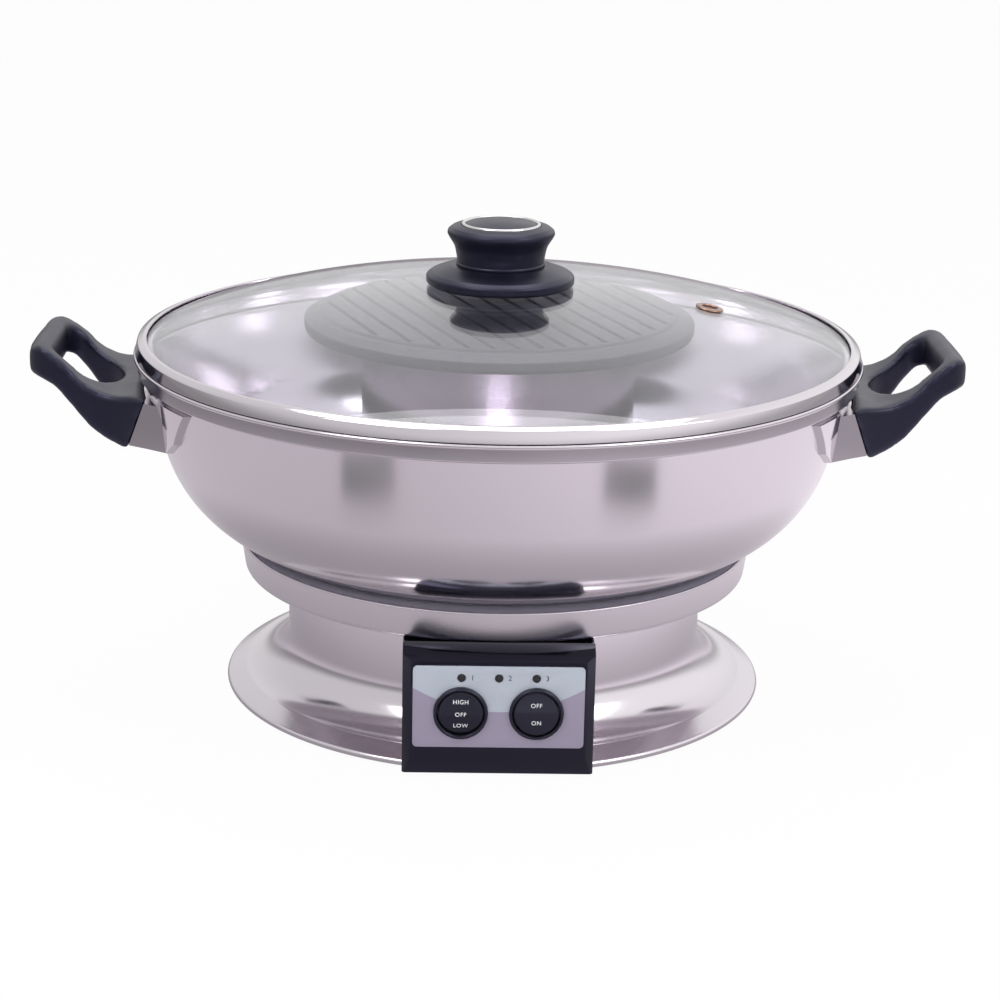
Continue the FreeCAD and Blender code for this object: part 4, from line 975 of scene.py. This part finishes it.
def rocker_ring(build, radius, depth=None):
    """A ring of a rocker's points, on its face or at a depth behind its crown."""
    ring = []
    for index in range(ROCKER_TURNS):
        angle = 2 * math.pi * index / ROCKER_TURNS
        across = radius * math.cos(angle)
        up = radius * math.sin(angle)
        behind = rocker_face(across, up) if depth is None else depth
        ring.append(build.verts.new((across, behind, up)))
    return ring


def rocker_piece(name, x, front, z, turn):
    """A round rocker whose two halves slope away from a soft crest."""
    radius = sizes().rocker_radius
    steps = 28
    back = 6.8
    build = bmesh.new()
    rings = [rocker_ring(build, radius * step / steps) for step in range(1, steps + 1)]
    rings += [rocker_ring(build, radius, 4.6), rocker_ring(build, radius - 1.6, back)]
    crown = build.verts.new((0, 0, 0))
    heel = build.verts.new((0, back, 0))
    for index in range(ROCKER_TURNS):
        after = (index + 1) % ROCKER_TURNS
        build.faces.new((crown, rings[0][index], rings[0][after]))
        build.faces.new((heel, rings[-1][after], rings[-1][index]))
        for here, there in zip(rings[:-1], rings[1:]):
            build.faces.new((here[index], there[index], there[after], here[after]))
    piece = new_piece(name, build, 50.0)
    piece.data.transform(rocker_matrix(x, front, z, turn))
    return piece


def rocker_matrix(x, front, z, turn):
    """Puts a rocker's crown at the front of its switch, tilted on its pivot by an angle."""
    pivot = Vector((0, 3.0 * MM, 0))
    tilt = Matrix.Translation(pivot) @ Matrix.Rotation(turn, 4, "X") @ Matrix.Translation(-pivot)
    return Matrix.Translation((x * MM, front * MM, z * MM)) @ tilt


def legend(name, word, height, matrix, material, body, slot):
    """A printed word as a thin raised shape, facing -Y."""
    curve = bpy.data.curves.new(name, "FONT")
    curve.body = word
    curve.align_x = "CENTER"
    curve.align_y = "CENTER"
    curve.size = height * MM / 0.7
    curve.space_character = 1.12
    curve.extrude = 0.03 * MM
    draft = new_object(name + "_draft", curve)
    bpy.context.view_layer.update()
    mesh = bpy.data.meshes.new_from_object(draft)
    bpy.data.objects.remove(draft)
    mesh.name = name
    mesh.transform(matrix @ Matrix.Rotation(math.pi / 2, 4, "X"))
    dress(mesh_piece(name, mesh, 30.0), material, body, slot)


class HOTPOT_OT_switches(bpy.types.Operator):
    """Builds the two round rocker switches and their legends"""

    bl_idname = "hot_pot.switches"
    bl_label = "Switches"

    def execute(self, context):
        size = sizes()
        ink = plain("white_pad_print", colours().print_white, 0.45, 0.55, 1.0, 0.002)
        switches = (
            ("heat", 0.0, (("HIGH", 5.1), ("OFF", -0.2), ("LOW", -5.5))),
            ("grill", -size.rocker_tilt, (("OFF", 3.2), ("ON", -4.2))),
        )
        for use, turn, words in switches:
            body_node = use + "_switch_body"
            x, _, z = centre_of(body_node)
            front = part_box(body_node)[0].y / MM
            housing = switch_piece(use + "_switch_flange", body_node, x, z)
            dress(housing, satin_abs(), "base", "black_abs", body_node)
            crown = front - 0.1
            rocker = rocker_piece(use + "_rocker_button", x, crown, z, turn)
            dress(rocker, satin_abs(), use + "_rocker", "black_abs", use + "_rocker")
            for word, up in words:
                fall = rocker_face(0, up)
                slope = -math.copysign(size.rocker_tilt, up) if abs(up) > 1 else 0.0
                place = Matrix.Translation((0, (fall - 0.03) * MM, up * MM)) @ Matrix.Rotation(slope, 4, "X")
                place = rocker_matrix(x, crown, z, turn) @ place
                name = use + "_legend_" + word.lower()
                legend(name, word, size.legend_height, place, ink, use + "_rocker", "black_abs")
        return {"FINISHED"}


class HOTPOT_OT_lamps(bpy.types.Operator):
    """Builds the three pilot lamps and the figures beside them"""

    bl_idname = "hot_pot.lamps"
    bl_label = "Pilot lamps"

    def execute(self, context):
        lens = plain("smoked_acrylic_lens", colours().lens, 0.06, 0.12, 4.0, 0.001)
        ink = plain("black_screen_print", colours().print_black, 0.45, 0.55, 1.0, 0.002)
        for figure, side in enumerate(("left", "middle", "right"), 1):
            node = "lamp_lens_" + side
            x, _, z = centre_of(node)
            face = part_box("control_label")[0].y / MM
            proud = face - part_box(node)[0].y / MM
            radius = 1.7
            rim = rounded(
                (radius, -3.0, 0), (radius, proud * 0.55, 0.25), (radius * 0.5, proud * 0.95, 0.8),
                (0, proud, 0), closed=False,
            )
            dome = turned("pilot_lens_" + side, [[Vector((0, -3.0))] + rim], 48)
            facing_front(dome, x, face, z)
            dress(dome, lens, "base", "dark_lens", node)
            place = Matrix.Translation(((x + 4.6) * MM, (face - 0.02) * MM, z * MM))
            legend("lamp_figure_" + side, str(figure), 2.3, place, ink, "base", "label_sheet")
        finish_nodes(satin_abs(), "lamp_holders")
        return {"FINISHED"}


class HOTPOT_OT_underside(bpy.types.Operator):
    """Finishes the bottom cover, feet, posts and screws"""

    bl_idname = "hot_pot.underside"
    bl_label = "Underside"

    def execute(self, context):
        finish_nodes(zinc_sheet(), "bottom_cover", "deck_plate")
        rubber = plain("moulded_foot_rubber", colours().rubber, 0.6, 0.75, 0.8, 0.03)
        finish_nodes(rubber, "rubber_feet")
        bevelled(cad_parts["rubber_feet"], 0.5, 40.0)
        finish_nodes(plated_screw(), "support_posts", "collar_screws", "cover_screws")
        return {"FINISHED"}


class HOTPOT_OT_inlet(bpy.types.Operator):
    """Finishes the mains inlet at the back"""

    bl_idname = "hot_pot.inlet"
    bl_label = "Mains inlet"

    def execute(self, context):
        finish_nodes(satin_abs(), "inlet_housing")
        bevelled(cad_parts["inlet_housing"], 0.5, 40.0)
        finish_nodes(plated_screw(), "inlet_pins", "inlet_screws")
        return {"FINISHED"}


class HOTPOT_OT_inner_works(bpy.types.Operator):
    """Finishes the heaters, reflectors, sensor and wiring inside"""

    bl_idname = "hot_pot.inner_works"
    bl_label = "Inner works"

    def execute(self, context):
        colour = colours()
        sheath = plain("oxidised_heater_sheath", colour.heater, 0.4, 0.6, 3.0, 0.02, 1.0)
        finish_nodes(sheath, "soup_heater", "grill_heater")
        clamps = ("soup_heater_clamps", "grill_heater_clamps", "thermostat_bracket")
        finish_nodes(zinc_sheet(), *clamps, "soup_heat_reflector", "grill_heat_reflector", "grill_column")
        brass = plain("brushed_brass", colour.brass, 0.25, 0.4, 1.0, 0.005, 1.0)
        finish_nodes(brass, "thermostat", "thermal_fuse")
        steatite = plain("glazed_steatite", colour.ceramic, 0.2, 0.35)
        finish_nodes(steatite, "terminal_block")
        finish_nodes(plated_screw(), "terminal_screws")
        finish_nodes(plain("silicone_lead", colour.lead, 0.45, 0.6, 1.0), "internal_leads")
        return {"FINISHED"}


# Stage


def flat_sheet(name, width):
    """A square sheet lying flat."""
    build = bmesh.new()
    bmesh.ops.create_grid(build, x_segments=1, y_segments=1, size=width / 2)
    mesh = bpy.data.meshes.new(name)
    build.to_mesh(mesh)
    build.free()
    return new_object(name, mesh)


def stage_card(name, width, height, centre, turn, shade):
    """A card lying flat that only mirrors see."""
    card = flat_sheet(name, 1.0)
    card.scale = (width, height, 1)
    card.location = centre
    card.rotation_euler = (0, 0, turn)
    material, tree, output = finish(name + "_paint")
    light = glow(tree, (shade, shade, shade * 1.04))
    tree.links.new(light.outputs["Emission"], output.inputs["Surface"])
    card.data.materials.append(material)
    card.visible_camera = False
    card.visible_diffuse = False
    card.visible_shadow = False
    card.visible_transmission = False


def soft_lamp(name, centre, aim, width, height, power):
    """A rectangular lamp that faces a point."""
    lamp = bpy.data.lights.new(name, "AREA")
    lamp.shape = "RECTANGLE"
    lamp.size = width
    lamp.size_y = height
    lamp.energy = power
    holder = new_object(name, lamp)
    holder.location = centre
    holder.rotation_euler = (Vector(aim) - Vector(centre)).to_track_quat("-Z", "Y").to_euler()
    return holder


def ramp(tree, source, start, end, low, high):
    """Eases from one level to another while the source goes from start to end."""
    settings = {"interpolation_type": "SMOOTHSTEP", "From Min": start, "From Max": end}
    settings.update({"To Min": low, "To Max": high})
    return add_node(tree, "MapRange", settings, {"Value": source}).outputs["Result"]


def chosen(tree, share, first, second):
    """The first value where the share is 0 and the second where it is 1."""
    links = {0: share, 2: first, 3: second}
    return add_node(tree, "Mix", {"data_type": "FLOAT"}, links).outputs[0]


def white_world():
    """White to the camera and through glass. Mirrors see a room that is brighter on the right."""
    world = bpy.data.worlds.new("studio")
    bpy.context.scene.world = world
    world.use_nodes = True
    tree = world.node_tree
    tree.nodes.clear()
    way = position(tree, "Generated")[1]
    sides = ramp(tree, way["X"], -0.7, 0.8, 0.78, 1.15)
    height = ramp(tree, way["Z"], 0.0, 0.2, 0.42, 1.0)
    room = reckon(tree, "MULTIPLY", sides, height)
    rays = add_node(tree, "LightPath").outputs
    plain_light = add_node(tree, "Value")
    plain_light.outputs[0].default_value = 0.46
    white = add_node(tree, "Value")
    white.outputs[0].default_value = 1.0
    level = chosen(tree, rays["Is Glossy Ray"], plain_light.outputs[0], room)
    level = chosen(tree, rays["Is Transmission Ray"], level, white.outputs[0])
    level = chosen(tree, rays["Is Camera Ray"], level, white.outputs[0])
    light = add_node(tree, "Background", {"Color": (1, 1, 1, 1)}, {"Strength": level})
    output = add_node(tree, "OutputWorld")
    tree.links.new(light.outputs["Background"], output.inputs["Surface"])


def white_floor():
    """A table top: white to the camera, and to mirrors a paper sheet with painted shade: a painted shadow
    round the pot, darker far out and lighter on the right.
    """
    floor = flat_sheet("table_top", 12.0)
    material, tree, output = finish("white_table_paint")
    place, spot = position(tree)
    far = add_node(tree, "VectorMath", {"operation": "LENGTH"}, {0: place}).outputs["Value"]
    # Painted light and shade on the sheet that mirrors see: a painted shadow round the pot, a painted
    # falloff towards its far edge, and painted light that is brighter on the right.
    painted_shadow_near_pot = ramp(tree, far, 0.13, 0.30, 0.42, 0.72)
    edge = ramp(tree, far, 0.40, 0.65, 1.0, 0.42)
    sides = ramp(tree, spot["X"], -0.25, 0.35, 0.95, 1.42)
    shade = reckon(tree, "MULTIPLY", reckon(tree, "MULTIPLY", painted_shadow_near_pot, edge), sides)
    mirrored_painted_shade = glow(tree, (1, 0.94, 1), shade)
    matt = add_node(tree, "BsdfDiffuse", {"Color": (0.8, 0.8, 0.8, 1.0)})
    seen = mixed(tree, 0.96, matt, glow(tree, (1, 1, 1)))
    rays = add_node(tree, "LightPath").outputs
    bright = mixed(tree, rays["Is Glossy Ray"], seen, mirrored_painted_shade)
    last = mixed(tree, rays["Is Diffuse Ray"], bright, matt)
    tree.links.new(last.outputs["Shader"], output.inputs["Surface"])
    floor.data.materials.append(material)
    floor.location.z = -0.0003


def photo_camera():
    """The camera at the photograph's viewing angle."""
    heading = math.radians(1.44)
    pitch = math.radians(16.91)
    roll = math.radians(1.21)
    ahead = math.cos(pitch)
    forward = Vector((math.sin(heading) * ahead, math.cos(heading) * ahead, -math.sin(pitch)))
    level = Vector((math.cos(heading), -math.sin(heading), 0))
    upright = level.cross(forward)
    right = level * math.cos(roll) + upright * math.sin(roll)
    above = upright * math.cos(roll) - level * math.sin(roll)
    data = bpy.data.cameras.new("photo_camera")
    data.lens = 91.73
    data.sensor_width = 36.0
    data.clip_start = 0.01
    camera = new_object("photo_camera", data)
    turn = Matrix((right, above, -forward)).transposed().to_4x4()
    eye = Vector((-26.46, -1131.05, 429.9)) * MM
    camera.matrix_world = Matrix.Translation(eye) @ turn
    bpy.context.scene.camera = camera


class HOTPOT_OT_stage(bpy.types.Operator):
    """Sets the camera, the white stage, its lamps and the dark cards that the steel mirrors"""

    bl_idname = "hot_pot.stage"
    bl_label = "Stage"

    def execute(self, context):
        context.scene.view_settings.view_transform = "Standard"
        photo_camera()
        white_world()
        white_floor()
        middle = (0, 0, 0.1)
        soft_lamp("key_lamp", (-0.9, -0.9, 1.5), middle, 0.8, 0.8, 9)
        soft_lamp("fill_lamp", (1.1, -0.8, 1.2), middle, 0.8, 0.8, 7)
        soft_lamp("top_lamp", (0, 0.5, 1.6), middle, 1.2, 0.8, 8)
        front = soft_lamp("front_lamp", (0, -1.2, 0.5), middle, 0.4, 0.3, 6.5)
        front.visible_glossy = False
        for side, degrees in (("left", -34.5), ("right", 33.5)):
            around = math.radians(degrees)
            out = 0.272
            spot = (out * math.sin(around), -out * math.cos(around), 0.004)
            stage_card("floor_tab_" + side, 0.07, 0.022, spot, around, 0.22)
        return {"FINISHED"}


PIECE_OPERATORS = (
    HOTPOT_OT_stand,
    HOTPOT_OT_bowl,
    HOTPOT_OT_grill,
    HOTPOT_OT_lid,
    HOTPOT_OT_knob,
    HOTPOT_OT_handles,
    HOTPOT_OT_control_box,
    HOTPOT_OT_switches,
    HOTPOT_OT_lamps,
    HOTPOT_OT_inlet,
    HOTPOT_OT_underside,
    HOTPOT_OT_inner_works,
    HOTPOT_OT_stage,
)


class HOTPOT_PT_panel(bpy.types.Panel):
    """Lists the hot pot's pieces"""

    bl_idname = "HOTPOT_PT_panel"
    bl_label = "Hot Pot"
    bl_space_type = "VIEW_3D"
    bl_region_type = "UI"
    bl_category = "Hot Pot"

    def draw(self, context):
        column = self.layout.column(align=True)
        for operator in PIECE_OPERATORS:
            column.operator(operator.bl_idname)
        for group in (context.scene.hot_pot_sizes, context.scene.hot_pot_colours):
            for name in group.__annotations__:
                self.layout.prop(group, name)


CLASSES = (HotPotSizes, HotPotColours, *PIECE_OPERATORS, HOTPOT_PT_panel)


def register():
    for entry in CLASSES:
        bpy.utils.register_class(entry)
    bpy.types.Scene.hot_pot_sizes = PointerProperty(type=HotPotSizes)
    bpy.types.Scene.hot_pot_colours = PointerProperty(type=HotPotColours)


def unregister():
    del bpy.types.Scene.hot_pot_colours
    del bpy.types.Scene.hot_pot_sizes
    for entry in reversed(CLASSES):
        bpy.utils.unregister_class(entry)


def main():
    register()
    for operator in PIECE_OPERATORS:
        group, name = operator.bl_idname.split(".")
        getattr(getattr(bpy.ops, group), name)()


if __name__ == "__main__":
    main()
